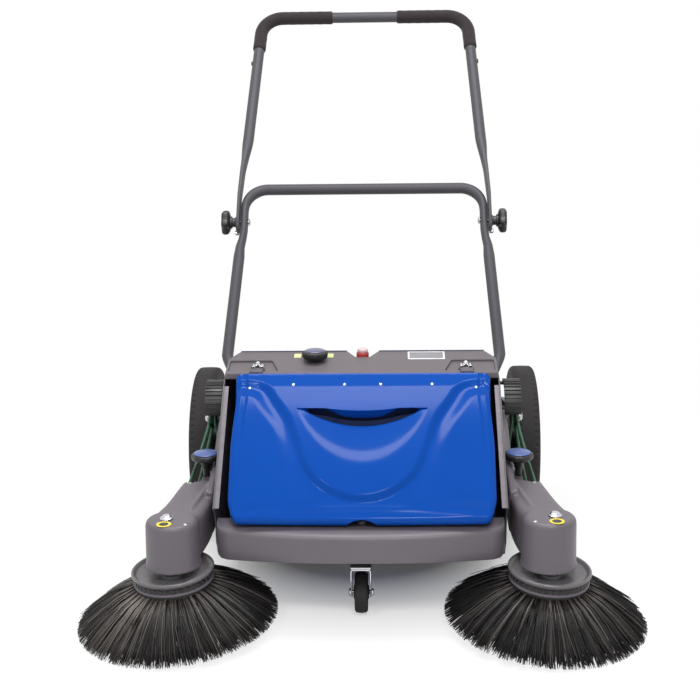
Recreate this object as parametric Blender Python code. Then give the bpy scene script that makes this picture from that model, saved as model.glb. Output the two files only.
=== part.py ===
"""Push-along floor sweeper: driven side brooms, a main broom, a debris hopper and a folding handle.

Metres, +Z up, the machine rolls towards -Y. The origin is under the middle of the bounding box, on the floor.
Left pieces are at negative X and right pieces at positive X.
"""
import math

import bmesh
import bpy
import numpy as np
from mathutils import Matrix, Vector

GAP = 0.0003

# Road wheels and the gear and belt drive taken from them
AXLE_Y, AXLE_Z = 0.130, 0.155
TYRE_RADIUS, TYRE_INNER_X, TYRE_OUTER_X = 0.155, 0.2975, 0.3455
RIM_RADIUS = 0.127
STUB_RADIUS, WHEEL_SIDES = 0.0095, 24
GEAR_MODULE = 0.0045
WHEEL_TEETH, PINION_TEETH = 40, 12
GEAR_X0, GEAR_X1 = 0.2620, 0.2730
BELT_RADIUS = 0.0028
WHEEL_SHEAVE_RADIUS = 0.088
REAR_BELT_X, FRONT_BELT_X = 0.2835, 0.2915

# Main broom
BROOM_Y, BROOM_Z = 0.0150, 0.1335
BROOM_TIP_RADIUS, BROOM_CORE_RADIUS, BROOM_HALF = 0.1315, 0.0560, 0.2360
SHAFT_RADIUS = 0.0100

# Side plates and the body that they carry
PLATE_X0, PLATE_X1 = 0.2465, 0.2490
BUMPER_HALF, BUMPER_FRONT, BUMPER_BACK, BUMPER_BOW = 0.2385, -0.4320, -0.3600, 0.0400
BUMPER_BOTTOM, BUMPER_TOP = 0.1270, 0.1790
BEAM_FRONT_Y, BEAM_BACK_Y = -0.1720, -0.0720
BEAM_FRONT_Z, BEAM_BACK_Z, BEAM_DEPTH = 0.3850, 0.4000, 0.0120
BEAM_SLOPE = (BEAM_BACK_Z - BEAM_FRONT_Z) / (BEAM_BACK_Y - BEAM_FRONT_Y)
HOOD_RADIUS, SHEET = 0.1405, 0.0020
CATCH_X, CATCH_Y, CATCH_RADIUS = 0.0010, -0.0880, 0.0086

# Debris hopper: the sloping face runs from its lower lip to its top edge
LIP_Y, LIP_Z, LIP_RADIUS = -0.3980, 0.1965, 0.0120
FACE_TOP_Y, FACE_TOP_Z = -0.1790, 0.3790
HOPPER_HALF_LOW, HOPPER_HALF_TOP, HOPPER_BOW = 0.2220, 0.2350, 0.0160
HOPPER_WALL, HOPPER_BACK = 0.0035, -0.1640
PANEL_RISE = 0.0080
RECESS_DEPTH, RECESS_HALF, RECESS_TOP, RECESS_SPAN = 0.0260, 0.1200, 0.7200, 0.3900

# Side-broom arms, their pivot and their height adjusters
ARM_PIVOT_Y, ARM_PIVOT_Z = -0.0420, 0.2620
IDLER_RADIUS, PIN_RADIUS, PIN_BORE = 0.0180, 0.0060, 0.0066
HEAD_X, HEAD_Y = 0.3205, -0.3985
HEAD_BASE_RADIUS, HEAD_TOP_RADIUS, HEAD_BOTTOM, HEAD_TOP = 0.0460, 0.0445, 0.1125, 0.2020
ADJUSTER_X, ADJUSTER_Y = 0.2815, -0.2120
ARM_WALL, SHEAVE_HEIGHT = 0.0040, 0.1742

# Side brooms: they lean outwards and forwards, so their outer front edge sweeps the floor
SIDE_X, SIDE_Y = 0.3120, -0.3920
LEAN_OUT, LEAN_FORWARD = math.radians(3.5), math.radians(2.5)
FLANGE_RADIUS, FLANGE_TOP = 0.0705, 0.1040
BRISTLE_RADIUS, BRISTLE_TIP_Z, BACKING_Z = 0.1682, 0.0140, 0.0832
STRAND_TAPER = 0.42

# Handles: one slanting line carries the lower loop and the folding upper part
LOOP_FOOT = Vector((0.2530, -0.0060, 0.3500))
LOOP_TOP_Z, LOOP_TOP_X = 0.6610, 0.2375
GRIP_TOP_Y, GRIP_TOP_Z, GRIP_TOP_X = 0.5460, 1.0000, 0.2305
TUBE_RADIUS, LOOP_BEND, GRIP_BEND, TUBE_SIDES = 0.0125, 0.0460, 0.0480, 10
CLAMP_Y, CLAMP_Z = 0.2080, 0.6010
STRAP_X, STRAP_HALF = 0.2578, 0.0035
BOLT_RADIUS, BOLT_BORE = 0.0040, 0.0045
GRIP_RADIUS, GRIP_HALF_GAP, GRIP_DROP = 0.0155, 0.0460, 0.0620

# Front caster
CASTER_Y, CASTER_TRAIL, CASTER_RADIUS, CASTER_HALF = -0.3430, 0.0200, 0.0362, 0.0115
CASTER_PLATE_Z = 0.0965

COLOURS = {
    "hopper_blue": ((0.010, 0.090, 0.500), 0.22, 0.0),
    "body_grey": ((0.135, 0.128, 0.142), 0.45, 0.0),
    "sheet_grey": ((0.110, 0.104, 0.116), 0.45, 0.0),
    "cover_grey": ((0.200, 0.185, 0.195), 0.45, 0.0),
    "tube_grey": ((0.090, 0.090, 0.100), 0.35, 0.6),
    "foam_black": ((0.035, 0.028, 0.028), 0.85, 0.0),
    "tyre_black": ((0.045, 0.044, 0.042), 0.80, 0.0),
    "black_plastic": ((0.015, 0.015, 0.017), 0.40, 0.0),
    "bristle_black": ((0.014, 0.012, 0.012), 0.55, 0.0),
    "cap_blue": ((0.110, 0.180, 0.460), 0.35, 0.0),
    "steel": ((0.600, 0.600, 0.620), 0.25, 1.0),
    "belt_green": ((0.020, 0.160, 0.070), 0.50, 0.0),
    "latch_red": ((0.550, 0.060, 0.050), 0.40, 0.0),
    "rubber_black": ((0.020, 0.020, 0.020), 0.90, 0.0),
}


def clear_scene():
    """Remove what the file held before."""
    for item in list(bpy.data.objects):
        bpy.data.objects.remove(item, do_unlink=True)


def material(name):
    """Return the named Principled material, made on first use."""
    found = bpy.data.materials.get(name)
    if found:
        return found
    colour, roughness, metallic = COLOURS[name]
    made = bpy.data.materials.new(name)
    made.use_nodes = True
    shader = made.node_tree.nodes["Principled BSDF"]
    shader.inputs["Base Color"].default_value = (*colour, 1.0)
    shader.inputs["Roughness"].default_value = roughness
    shader.inputs["Metallic"].default_value = metallic
    made.diffuse_color = (*colour, 1.0)
    return made


class Body:
    """A group of pieces that move together: an empty on the joint's axis, and its place in the world."""

    def __init__(self, name, pivot, parent=None, turn=None):
        self.matrix = Matrix.Translation(Vector(pivot)) @ (turn or Matrix.Identity(4))
        self.empty = bpy.data.objects.new(name + "_axis", None)
        self.empty.empty_display_size = 0.02
        bpy.context.collection.objects.link(self.empty)
        if parent:
            self.empty.parent = parent.empty
            self.empty.matrix_local = parent.matrix.inverted() @ self.matrix
        else:
            self.empty.matrix_local = self.matrix


def add_piece(name, shape, finish, body=None, local=False, smooth=35.0):
    """Turn a bmesh into a named object on a body; a local shape is already drawn about the body's own axis."""
    bmesh.ops.recalc_face_normals(shape, faces=shape.faces)
    if body and not local:
        shape.transform(body.matrix.inverted())
    mesh = bpy.data.meshes.new(name)
    shape.to_mesh(mesh)
    shape.free()
    piece = bpy.data.objects.new(name, mesh)
    bpy.context.collection.objects.link(piece)
    if body:
        piece.parent = body.empty
    if finish:
        mesh.materials.append(material(finish))
    if smooth:
        mesh.shade_smooth()
        mesh.set_sharp_from_angle(angle=math.radians(smooth))
    return piece


def cut(piece, shape, body=None, operation="DIFFERENCE", local=False):
    """Cut a piece by a shape, or join the shape to it, with a live Boolean on a hidden cutter."""
    cutter = add_piece(f"{piece.name}_{operation.lower()}_{len(piece.modifiers)}", shape, None, body, local, 0)
    cutter.hide_render = True
    cutter.display_type = "WIRE"
    step = piece.modifiers.new(operation.lower(), "BOOLEAN")
    step.operation = operation
    step.object = cutter
    return piece


def to_side(shape, side):
    """Mirror a right-hand shape to the left when side is -1."""
    if side < 0:
        bmesh.ops.scale(shape, vec=(-1.0, 1.0, 1.0), verts=shape.verts)
        bmesh.ops.reverse_faces(shape, faces=shape.faces)
    return shape


def loft(rings, capped=True, closed=False):
    """Bridge rings of equal count into one skin, with flat end caps or joined end to end."""
    shape = bmesh.new()
    rows = [[shape.verts.new(point) for point in ring] for ring in rings]
    pairs = list(zip(rows, rows[1:]))
    if closed:
        pairs.append((rows[-1], rows[0]))
    for low, high in pairs:
        count = len(low)
        for i in range(count):
            j = (i + 1) % count
            shape.faces.new((low[i], low[j], high[j], high[i]))
    if capped and not closed:
        shape.faces.new(rows[0][::-1])
        shape.faces.new(rows[-1])
    return shape


def turned(profile, segments, place=(0, 0, 0), along="Z", hollow=False):
    """Turn a profile of (radius, height) about an axis; a hollow profile is a closed loop off the axis."""
    shape = bmesh.new()
    count = len(profile)
    rows = []
    for k in range(segments):
        angle = 2 * math.pi * k / segments
        c, s = math.cos(angle), math.sin(angle)
        row = []
        for i, (radius, height) in enumerate(profile):
            if radius < 1e-7 and k:
                row.append(rows[0][i])
            else:
                row.append(shape.verts.new((radius * c, radius * s, height)))
        rows.append(row)
    steps = count if hollow else count - 1
    for k in range(segments):
        here, there = rows[k], rows[(k + 1) % segments]
        for i in range(steps):
            j = (i + 1) % count
            corners = [here[i], there[i], there[j], here[j]]
            unique = list(dict.fromkeys(corners))
            if len(unique) > 2:
                shape.faces.new(unique)
    if along == "X":
        shape.transform(Matrix.Rotation(math.pi / 2, 4, "Y"))
    shape.transform(Matrix.Translation(Vector(place)))
    return shape


def rod(radius, low, high, segments, place=(0, 0, 0), along="X"):
    """A plain round bar between two distances along an axis, for pins and bores."""
    return turned([(0, low), (radius, low), (radius, high), (0, high)], segments, place, along)


def prism(outline, low, high, along="X"):
    """Extrude a closed outline of two coordinates between two planes across X or Z."""
    if along == "X":
        rings = [[Vector((x, a, b)) for a, b in outline] for x in (low, high)]
    else:
        rings = [[Vector((a, b, z)) for a, b in outline] for z in (low, high)]
    return loft(rings)


def block(low, high):
    """A plain box between two corners, for cutters."""
    outline = [(low[0], low[1]), (high[0], low[1]), (high[0], high[1]), (low[0], high[1])]
    return prism(outline, low[2], high[2], "Z")


def arc(centre, radius, start, stop, steps):
    """Points on an arc in a plane, angles in degrees."""
    angles = np.radians(np.linspace(start, stop, steps + 1))
    return [(centre[0] + radius * math.cos(a), centre[1] + radius * math.sin(a)) for a in angles]


def rounded(points, radius, steps=6):
    """Round the inner corners of an open 3-D path with arcs of a radius."""
    points = [Vector(p) for p in points]
    path = [points[0]]
    for before, corner, after in zip(points, points[1:], points[2:]):
        back, ahead = (before - corner).normalized(), (after - corner).normalized()
        half = back.angle(ahead) / 2
        reach = radius / math.tan(half)
        middle = corner + (back + ahead).normalized() * (radius / math.sin(half))
        start, stop = corner + back * reach - middle, corner + ahead * reach - middle
        path += [middle + start.slerp(stop, k / steps).normalized() * radius for k in range(steps + 1)]
    path.append(points[-1])
    return path


def frames(path, closed=False):
    """Tangent, side and up vectors along a path, carried with as little turning as possible."""
    count = len(path)
    tangents = []
    for i in range(count):
        if closed:
            tangents.append((path[(i + 1) % count] - path[i - 1]).normalized())
        else:
            tangents.append((path[min(i + 1, count - 1)] - path[max(i - 1, 0)]).normalized())
    side = tangents[0].orthogonal().normalized()
    sides = [side]
    for before, now in zip(tangents, tangents[1:]):
        side = before.rotation_difference(now) @ side
        side = (side - now * side.dot(now)).normalized()
        sides.append(side)
    if closed:
        last = tangents[-1].rotation_difference(tangents[0]) @ sides[-1]
        twist = math.atan2(tangents[0].dot(last.cross(sides[0])), last.dot(sides[0]))
        sides = [Matrix.Rotation(twist * i / count, 3, t) @ s for i, (t, s) in enumerate(zip(tangents, sides))]
    return [(t, s, t.cross(s)) for t, s in zip(tangents, sides)]


def sweep(path, radius, segments, closed=False):
    """A round tube along a path."""
    rings = []
    for point, (_, side, up) in zip(path, frames(path, closed)):
        turns = [2 * math.pi * k / segments for k in range(segments)]
        rings.append([point + (side * math.cos(a) + up * math.sin(a)) * radius for a in turns])
    return loft(rings, closed=closed)


def sleeve(path, outer, inner, segments=10):
    """A tube with a bore along a path: an outer skin, an inner skin and two end rings."""
    shape = bmesh.new()
    rows = []
    for point, (_, side, up) in zip(path, frames(path)):
        turns = [2 * math.pi * k / segments for k in range(segments)]
        spokes = [side * math.cos(a) + up * math.sin(a) for a in turns]
        rows.append([[shape.verts.new(point + spoke * r) for spoke in spokes] for r in (outer, inner)])
    for low, high in zip(rows, rows[1:]):
        for skin in (0, 1):
            for i in range(segments):
                j = (i + 1) % segments
                shape.faces.new((low[skin][i], low[skin][j], high[skin][j], high[skin][i]))
    for end in (rows[0], rows[-1]):
        for i in range(segments):
            j = (i + 1) % segments
            shape.faces.new((end[0][i], end[0][j], end[1][j], end[1][i]))
    return shape


def gear_outline(teeth, centre, phase):
    """Outline of a spur gear with straight-flanked teeth; phase is the angle of the first tooth's centre."""
    pitch = GEAR_MODULE * teeth / 2
    tip, root = pitch + 0.9 * GEAR_MODULE, pitch - 1.15 * GEAR_MODULE
    step = 2 * math.pi / teeth
    corners = ((-0.30, root), (-0.11, tip), (0.11, tip), (0.30, root))
    points = []
    for k in range(teeth):
        for share, radius in corners:
            angle = phase + (k + share) * step
            points.append((centre[0] + radius * math.cos(angle), centre[1] + radius * math.sin(angle)))
    return points


def mesh_direction():
    """Angle of the line from the wheel's axle to the main broom's axis, in the YZ plane."""
    return math.atan2(BROOM_Z - AXLE_Z, BROOM_Y - AXLE_Y)


def groove(radius, x):
    """Profile points of one belt groove, wide enough to clear its belt."""
    rim, floor = radius + 0.0015, radius - BELT_RADIUS - 0.0014
    return [(rim, x - 0.0039), (floor, x - 0.0022), (floor, x + 0.0022), (rim, x + 0.0039)]


def lobed(radius, lobes, depth, steps):
    """Outline of a hand knob with rounded lobes."""
    count = lobes * steps
    points = []
    for k in range(count):
        angle = 2 * math.pi * k / count
        reach = radius - depth * (0.5 - 0.5 * math.cos(lobes * angle))
        points.append((reach * math.cos(angle), reach * math.sin(angle)))
    return points


def knob_shape(radius, lobes, depth, levels):
    """A knob about Z: levels are (share of the outline, height) from bottom to top."""
    outline = lobed(radius, lobes, depth, 3)
    return loft([[Vector((share * x, share * y, height)) for x, y in outline] for share, height in levels])


def panel_half(v):
    """Half width of the raised centre panel at a height v of the face, 0 at the lip and 1 at the top."""
    heights = (0.00, 0.12, 0.16, 0.20, 0.26, 0.45, 0.68, 0.83, 1.00)
    halves = (-0.05, 0.000, 0.030, 0.055, 0.089, 0.115, 0.141, 0.171, 0.184)
    return float(np.interp(v, heights, halves))


def smooth(value):
    """Ease from 0 to 1."""
    value = min(max(value, 0.0), 1.0)
    return value * value * (3 - 2 * value)


def face_relief(x, v):
    """Height of the hopper's face above its plain slope: panels, grooves between them and the hand recess."""
    x = abs(x)
    half = panel_half(v)
    top = 1 - smooth((v - 0.93) / 0.015)
    inner = smooth((half - x) / 0.016)
    outer = smooth((x - half - 0.006) / 0.030) * smooth((v - 0.30) / 0.45)
    corner = 1 - smooth((x - 0.196) / 0.012) * smooth((v - 0.86) / 0.05)
    rise = PANEL_RISE * max(inner, 0.75 * outer * corner) * top * smooth((v - 0.05) / 0.10)
    if x < RECESS_HALF and v < RECESS_TOP:
        span = RECESS_SPAN * (1 - (x / RECESS_HALF) ** 2) ** 0.75
        depth = smooth((v - RECESS_TOP + span) / max(span, 1e-6))
        rise -= RECESS_DEPTH * depth * (1 - (x / RECESS_HALF) ** 4)
    return rise


def inner_relief(x, v):
    """Depth of the hopper's inner skin: it keeps behind the hand recess with one broad hollow."""
    across = 1 - smooth((abs(x) - 0.115) / 0.045)
    along = smooth((v - 0.16) / 0.24) * (1 - smooth((v - 0.75) / 0.11))
    return -(RECESS_DEPTH + 0.004) * across * along


def hopper_section(t, inset):
    """Closed section of the hopper across X at a share t of its width; inset is the wall that is taken off."""
    slope = Vector((0, FACE_TOP_Y - LIP_Y, FACE_TOP_Z - LIP_Z)).normalized()
    normal = Vector((0, -slope.z, slope.y))
    heights = (0.0, 0.10, 0.20, 0.32, 0.42, 0.52, 0.62, 0.7190, 0.7220, 0.82, 0.925, 0.946, 1.0)
    if inset:
        heights = (0.0, 0.14, 0.38, 0.60, 0.74, 0.86, 1.0)
    bow = HOPPER_BOW * t * t
    ring = []
    for v in heights:
        half = HOPPER_HALF_LOW + (HOPPER_HALF_TOP - HOPPER_HALF_LOW) * v - inset
        base = Vector((0, LIP_Y, LIP_Z)) + (Vector((0, FACE_TOP_Y - LIP_Y, FACE_TOP_Z - LIP_Z))) * v
        rise = inner_relief(t * half, v) if inset else face_relief(t * half, v)
        point = base + normal * (LIP_RADIUS - inset + rise)
        ring.append(Vector((t * half, point.y + bow * (1 - v), point.z)))
    top, half = ring[-1], HOPPER_HALF_TOP - inset
    if inset:
        rear = [(-0.1790, FACE_TOP_Z - 0.0080), (-0.1660, 0.3330), (-0.1620, 0.2280), (-0.1400, 0.2250),
                (-0.1400, 0.0600), (-0.1700, 0.0600), (-0.2740, 0.1135), (-0.3440, 0.1165), (-0.3470, 0.1880),
                (LIP_Y + 0.0040, 0.1880)]
    else:
        rear = [(-0.1745, FACE_TOP_Z + 0.0005), (-0.1745, 0.3660), (-0.1620, 0.3300), (-0.1570, 0.2245),
                (HOPPER_BACK, 0.1200), (HOPPER_BACK, 0.0530), (-0.1700, 0.0530), (-0.2750, 0.1085),
                (-0.3480, 0.1115), (-0.3510, 0.1843)]
    for y, z in rear:
        ring.append(Vector((t * half, y, z)))
    if not inset:
        for y, z in arc((LIP_Y, LIP_Z), LIP_RADIUS, -90, -140, 3):
            ring.append(Vector((t * HOPPER_HALF_LOW, y + bow, z)))
    return ring


def make_hopper():
    """The tilting hopper: a moulded face over an open-backed tray, and its rubber lip."""
    body = Body("hopper", (0, LIP_Y, LIP_Z))
    shares = np.array((0, 0.22, 0.42, 0.52, 0.62, 0.72, 0.84, 1.0))
    shares = np.concatenate((-shares[:0:-1], shares))
    coarse = (-1.0, -0.72, -0.48, 0.0, 0.48, 0.72, 1.0)
    outer = loft([hopper_section(float(t), 0.0) for t in shares])
    hopper = add_piece("hopper", outer, "hopper_blue", body, smooth=50)
    inner = loft([hopper_section(t, HOPPER_WALL) for t in coarse])
    cut(hopper, inner, body)
    front, back = HOPPER_BACK + GAP, HOPPER_BACK + 0.0028
    foot = HOPPER_BACK - 0.0195
    lip = prism([(front, 0.0585), (back, 0.0585), (back, 0.0515), (foot, 0.0200), (foot - 0.0030, 0.0200),
                 (front, 0.0525)], -0.2180, 0.2180)
    add_piece("hopper_lip", lip, "rubber_black", body)


def side_outline():
    """Outline of a side plate in the YZ plane, clockwise from its lower front corner."""
    nose = [(-0.3900, 0.1330), (-0.3960, 0.1600), (-0.4000, 0.1780), (-0.3900, 0.1900)]
    back_top = BEAM_BACK_Z - BEAM_DEPTH - GAP
    front_top = BEAM_FRONT_Z - BEAM_DEPTH - GAP
    top = [(-0.1740, front_top - 0.012), (BEAM_FRONT_Y, front_top), (BEAM_BACK_Y, back_top), (-0.0300, 0.3540),
           (0.0010, 0.3290)]
    rear = arc((AXLE_Y, AXLE_Z), 0.0560, 50, -60, 8)
    low = [(0.1100, 0.0620), (-0.1300, 0.0450), (-0.2700, 0.0950), (-0.3300, 0.0980)]
    return nose + top + rear + low


def make_side_plates():
    """Steel side plates with the hole that the main broom's shaft passes through."""
    for side, tag in ((1, "right"), (-1, "left")):
        shape = to_side(prism(side_outline(), PLATE_X0, PLATE_X1), side)
        plate = add_piece(f"side_plate_{tag}", shape, "sheet_grey")
        cut(plate, rod(0.0165, -0.02, 0.02, 16, (side * PLATE_X1, BROOM_Y, BROOM_Z)))


def bumper_front(x):
    """How far back the bowed bumper is at a distance x from the middle."""
    return BUMPER_BOW * (abs(x) / BUMPER_HALF) ** 2.2


def make_bumper():
    """Bowed front bumper, open at the back, whose shelf carries the hopper's lip."""
    section = [(0, 0.134), (0, 0.170), (0.0015, 0.1755), (0.007, BUMPER_TOP), (0.024, 0.1830), (None, 0.1838),
               (None, 0.1290), (0.008, BUMPER_BOTTOM), (0.0015, 0.129)]
    shares = [-1, -0.985, -0.94, -0.8, -0.6, -0.3, 0, 0.3, 0.6, 0.8, 0.94, 0.985, 1]
    rings = []
    for share in shares:
        x = share * BUMPER_HALF
        round_off = 0.016 * max(0, (abs(share) - 0.93) / 0.07) ** 2
        front = BUMPER_FRONT + bumper_front(x) + round_off
        rings.append([Vector((x, BUMPER_BACK if d is None else front + d, z)) for d, z in section])
    bumper = add_piece("bumper", loft(rings), "body_grey", smooth=40)
    inner = []
    for share in (-0.985, -0.8, -0.6, -0.3, 0, 0.3, 0.6, 0.8, 0.985):
        x = share * BUMPER_HALF
        front = BUMPER_FRONT + bumper_front(x) + 0.0035 + 0.006 * (abs(share) > 0.9)
        hollow = ((front, 0.1320), (front, 0.1740), (front + 0.015, 0.1800), (BUMPER_BACK + 0.01, 0.1805),
                  (BUMPER_BACK + 0.01, 0.1320))
        inner.append([Vector((x, y, z)) for y, z in hollow])
    cut(bumper, loft(inner))


def make_crossmember():
    """Folded plate behind the bumper that carries the caster; its ends sweep back to clear a raised side broom."""
    half, narrow = 0.2460, 0.1960
    outline = [(-narrow, -0.3950), (narrow, -0.3950), (half, -0.3220), (half, -0.2850), (0.1900, -0.2850),
               (0.1600, -0.3300), (-0.1600, -0.3300), (-0.1900, -0.2850), (-half, -0.2850), (-half, -0.3220)]
    member = add_piece("front_crossmember", prism(outline, 0.1008, 0.1038, "Z"), "sheet_grey")
    cut(member, block((-narrow, -0.3950, 0.1020), (narrow, -0.3920, 0.1240)), operation="UNION")


def make_beam():
    """Top cover beam: clipped rear corners, a V notch behind and a low pocket at each end."""
    half = 0.2470
    outline = [(-half, BEAM_FRONT_Y), (half, BEAM_FRONT_Y), (half, -0.1050), (0.2280, BEAM_BACK_Y),
               (0.0300, BEAM_BACK_Y), (0.0130, -0.1000), (-0.0110, -0.1000), (-0.0270, BEAM_BACK_Y),
               (-0.2280, BEAM_BACK_Y), (-half, -0.1050)]
    rings = []
    for depth in (BEAM_DEPTH, 0.0):
        top = BEAM_FRONT_Z - depth
        rings.append([Vector((x, y, top + (y - BEAM_FRONT_Y) * BEAM_SLOPE)) for x, y in outline])
    beam = add_piece("top_beam", loft(rings), "cover_grey", smooth=30)
    for side in (1, -1):
        pocket = [(side * 0.1500, -0.1640), (side * 0.2420, -0.1640), (side * 0.2420, -0.1150),
                  (side * 0.1650, -0.1150)]
        if side < 0:
            pocket.reverse()
        cut(beam, prism(pocket, 0.3810, 0.4200, "Z"))
    ease = beam.modifiers.new("edges", "BEVEL")
    ease.width = 0.0015
    ease.segments = 1
    ease.limit_method = "ANGLE"
    ease.angle_limit = math.radians(60)
    cut(beam, block((-0.0280, -0.1100, 0.3790), (0.0310, -0.0776, 0.3856)), operation="UNION")
    cut(beam, rod(CATCH_RADIUS + 0.0007, 0.3820, 0.4100, 12, (CATCH_X, CATCH_Y, 0), "Z"))


def make_catches():
    """Spring roller catches that sit in the beam's end pockets."""
    for side, tag in ((1, "right"), (-1, "left")):
        x, y, z = side * 0.1900, -0.1420, 0.3813
        shape = block((x - 0.0140, y - 0.0110, z), (x + 0.0140, y + 0.0110, z + 0.0045))
        base = add_piece(f"catch_{tag}", shape, "steel")
        for offset in (-0.0080, 0.0080):
            roller = rod(0.0042, -0.0100, 0.0100, 8, along="Z")
            roller.transform(Matrix.Rotation(math.pi / 2, 4, "X"))
            roller.transform(Matrix.Translation((x + offset, y, z + 0.0070)))
            cut(base, roller, operation="UNION")
        profile = [(0, 0.0020), (0.0048, 0.0020), (0.0048, 0.0125), (0.0030, 0.0155), (0, 0.0165)]
        dome = turned(profile, 10, (x, y + 0.0060, z))
        cut(base, dome, operation="UNION")


def hood_line(offset):
    """The hood's line in the YZ plane, from the beam over the main broom to its rear skirt."""
    radius = HOOD_RADIUS + offset
    start = (-0.0760 + offset * 0.66, BEAM_BACK_Z - BEAM_DEPTH - 0.0040 + offset * 0.75)
    return [start] + arc((BROOM_Y, BROOM_Z), radius, 49, -14, 9) + [(BROOM_Y + radius * 0.97, 0.0580)]


def make_hood():
    """Curved sheet over the back of the main broom, and its rubber skirt."""
    outline = hood_line(SHEET) + hood_line(0.0)[::-1]
    add_piece("broom_hood", prism(outline, -0.2460, 0.2460), "sheet_grey")
    skirt_y = BROOM_Y + (HOOD_RADIUS + SHEET) * 0.97 + GAP
    skirt = [(skirt_y, 0.0860), (skirt_y + 0.0025, 0.0860), (skirt_y + 0.0060, 0.0060),
             (skirt_y + 0.0035, 0.0060)]
    add_piece("rear_skirt", prism(skirt, -0.2450, 0.2450), "rubber_black")


def make_main_broom():
    """Main broom: core with its shaft, the bristle sleeve and the pinion on its left end."""
    body = Body("main_broom", (0, BROOM_Y, BROOM_Z))
    place = (0, BROOM_Y, BROOM_Z)
    right_end = PLATE_X1 + 0.0060
    core = [(0, -0.2750), (SHAFT_RADIUS, -0.2750), (SHAFT_RADIUS, -BROOM_HALF), (0.0300, -BROOM_HALF),
            (BROOM_CORE_RADIUS, -BROOM_HALF + 0.0080), (BROOM_CORE_RADIUS, BROOM_HALF - 0.0080),
            (0.0300, BROOM_HALF), (SHAFT_RADIUS, BROOM_HALF), (SHAFT_RADIUS, right_end), (0, right_end)]
    add_piece("main_broom_core", turned(core, 14, place, "X"), "black_plastic", body)
    centre = (BROOM_Y, BROOM_Z)
    phase = mesh_direction() + math.pi + math.pi / PINION_TEETH
    pinion = add_piece("drive_pinion", prism(gear_outline(PINION_TEETH, centre, phase), -GEAR_X1, -GEAR_X0),
                       "black_plastic", body, smooth=0)
    cut(pinion, rod(SHAFT_RADIUS + 0.0006, -GEAR_X1 - 0.01, -GEAR_X0 + 0.01, 14, place), body)
    add_piece("main_broom_bristles", broom_sleeve(), "bristle_black", body, smooth=0)
    for side, tag in ((1, "right"), (-1, "left")):
        bore = SHAFT_RADIUS + 0.0006
        ring = [(bore, PLATE_X1 + GAP), (0.0240, PLATE_X1 + GAP), (0.0240, PLATE_X1 + 0.0030),
                (0.0155, PLATE_X1 + 0.0055), (bore, PLATE_X1 + 0.0055)]
        shape = to_side(turned(ring, 14, place, "X", hollow=True), side)
        add_piece(f"broom_bearing_{tag}", shape, "black_plastic")


def grow_strand(shape, corners, tip, root, taper):
    """Raise the four corners of a cell into one tapered strand that ends at a tip."""
    ends = [shape.verts.new(tip + (corner.co - root) * taper) for corner in corners]
    for a in range(4):
        b = (a + 1) % 4
        shape.faces.new((corners[a], corners[b], ends[b], ends[a]))
    shape.faces.new(ends)


def broom_sleeve():
    """Bristle sleeve: rows of strands along gentle helices, grown out of the cells of a thin tube."""
    rows, columns = 8, 13
    twist = 2 * math.pi / rows
    inner, root = BROOM_CORE_RADIUS + 0.0034, BROOM_CORE_RADIUS + 0.0070
    ends = BROOM_HALF - 0.0120
    narrow = 0.22
    turns = []
    for k in range(rows):
        turns += [k / rows, (k + narrow) / rows]
    stations = []
    for k in range(columns):
        stations += [(k + 0.5 - narrow) / columns, (k + 0.5 + narrow) / columns]
    stations = [0.0] + stations + [1.0]
    shape = bmesh.new()

    def spot(radius, share, turn):
        angle = 2 * math.pi * turn + twist * share
        across, y, z = (2 * share - 1) * ends, radius * math.cos(angle), radius * math.sin(angle)
        return Vector((across, BROOM_Y + y, BROOM_Z + z))

    outer = [[shape.verts.new(spot(root, share, turn)) for turn in turns] for share in stations]
    bore = [[shape.verts.new(spot(inner, share, turn)) for turn in turns] for share in (0.0, 1.0)]
    count = len(turns)
    for i in range(len(stations) - 1):
        for j in range(count):
            k = (j + 1) % count
            corners = [outer[i][j], outer[i + 1][j], outer[i + 1][k], outer[i][k]]
            if i % 2 == 1 and j % 2 == 0:
                share = (stations[i] + stations[i + 1]) / 2
                turn = (turns[j] + turns[j + 1]) / 2
                centre = spot(BROOM_TIP_RADIUS, share, turn)
                at_root = spot(root, share, turn)
                grow_strand(shape, corners, centre, at_root, STRAND_TAPER)
            else:
                shape.faces.new(corners)
    for j in range(count):
        k = (j + 1) % count
        shape.faces.new((bore[0][(j + 2) % count], bore[0][(k + 2) % count], bore[1][k], bore[1][j]))
        shape.faces.new((outer[0][j], outer[0][k], bore[0][k], bore[0][j]))
        shape.faces.new((outer[-1][j], bore[1][j], bore[1][k], outer[-1][k]))
    return shape


def wheel_profile_tyre():
    """Section of the solid rubber tyre between its bead and its rounded tread."""
    inner, outer = TYRE_INNER_X, TYRE_OUTER_X
    bead, tread = RIM_RADIUS + GAP, TYRE_RADIUS
    return [(bead, inner + 0.006), (bead + 0.010, inner), (tread - 0.008, inner), (tread, inner + 0.008),
            (tread, outer - 0.008), (tread - 0.008, outer), (bead + 0.010, outer), (bead, outer - 0.006)]


def wheel_profile_rim():
    """Section of the moulded wheel centre: belt sheave, hub, dished web and rim."""
    inner, outer = TYRE_INNER_X, TYRE_OUTER_X
    bore = STUB_RADIUS + GAP
    low, high = REAR_BELT_X - 0.0060, REAR_BELT_X + 0.0060
    sheave = groove(WHEEL_SHEAVE_RADIUS, REAR_BELT_X)
    return [(bore, low), (WHEEL_SHEAVE_RADIUS + 0.0015, low), *sheave, (WHEEL_SHEAVE_RADIUS + 0.0015, high),
            (0.0400, inner - 0.0060), (0.0400, inner + 0.0150), (0.1120, inner + 0.0120),
            (0.1150, inner + 0.0030), (RIM_RADIUS, inner + 0.0060), (RIM_RADIUS, outer - 0.0060),
            (0.1150, outer - 0.0030), (0.1120, inner + 0.0210), (0.0260, inner + 0.0250),
            (0.0260, outer - 0.0010), (bore, outer - 0.0010)]


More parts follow.
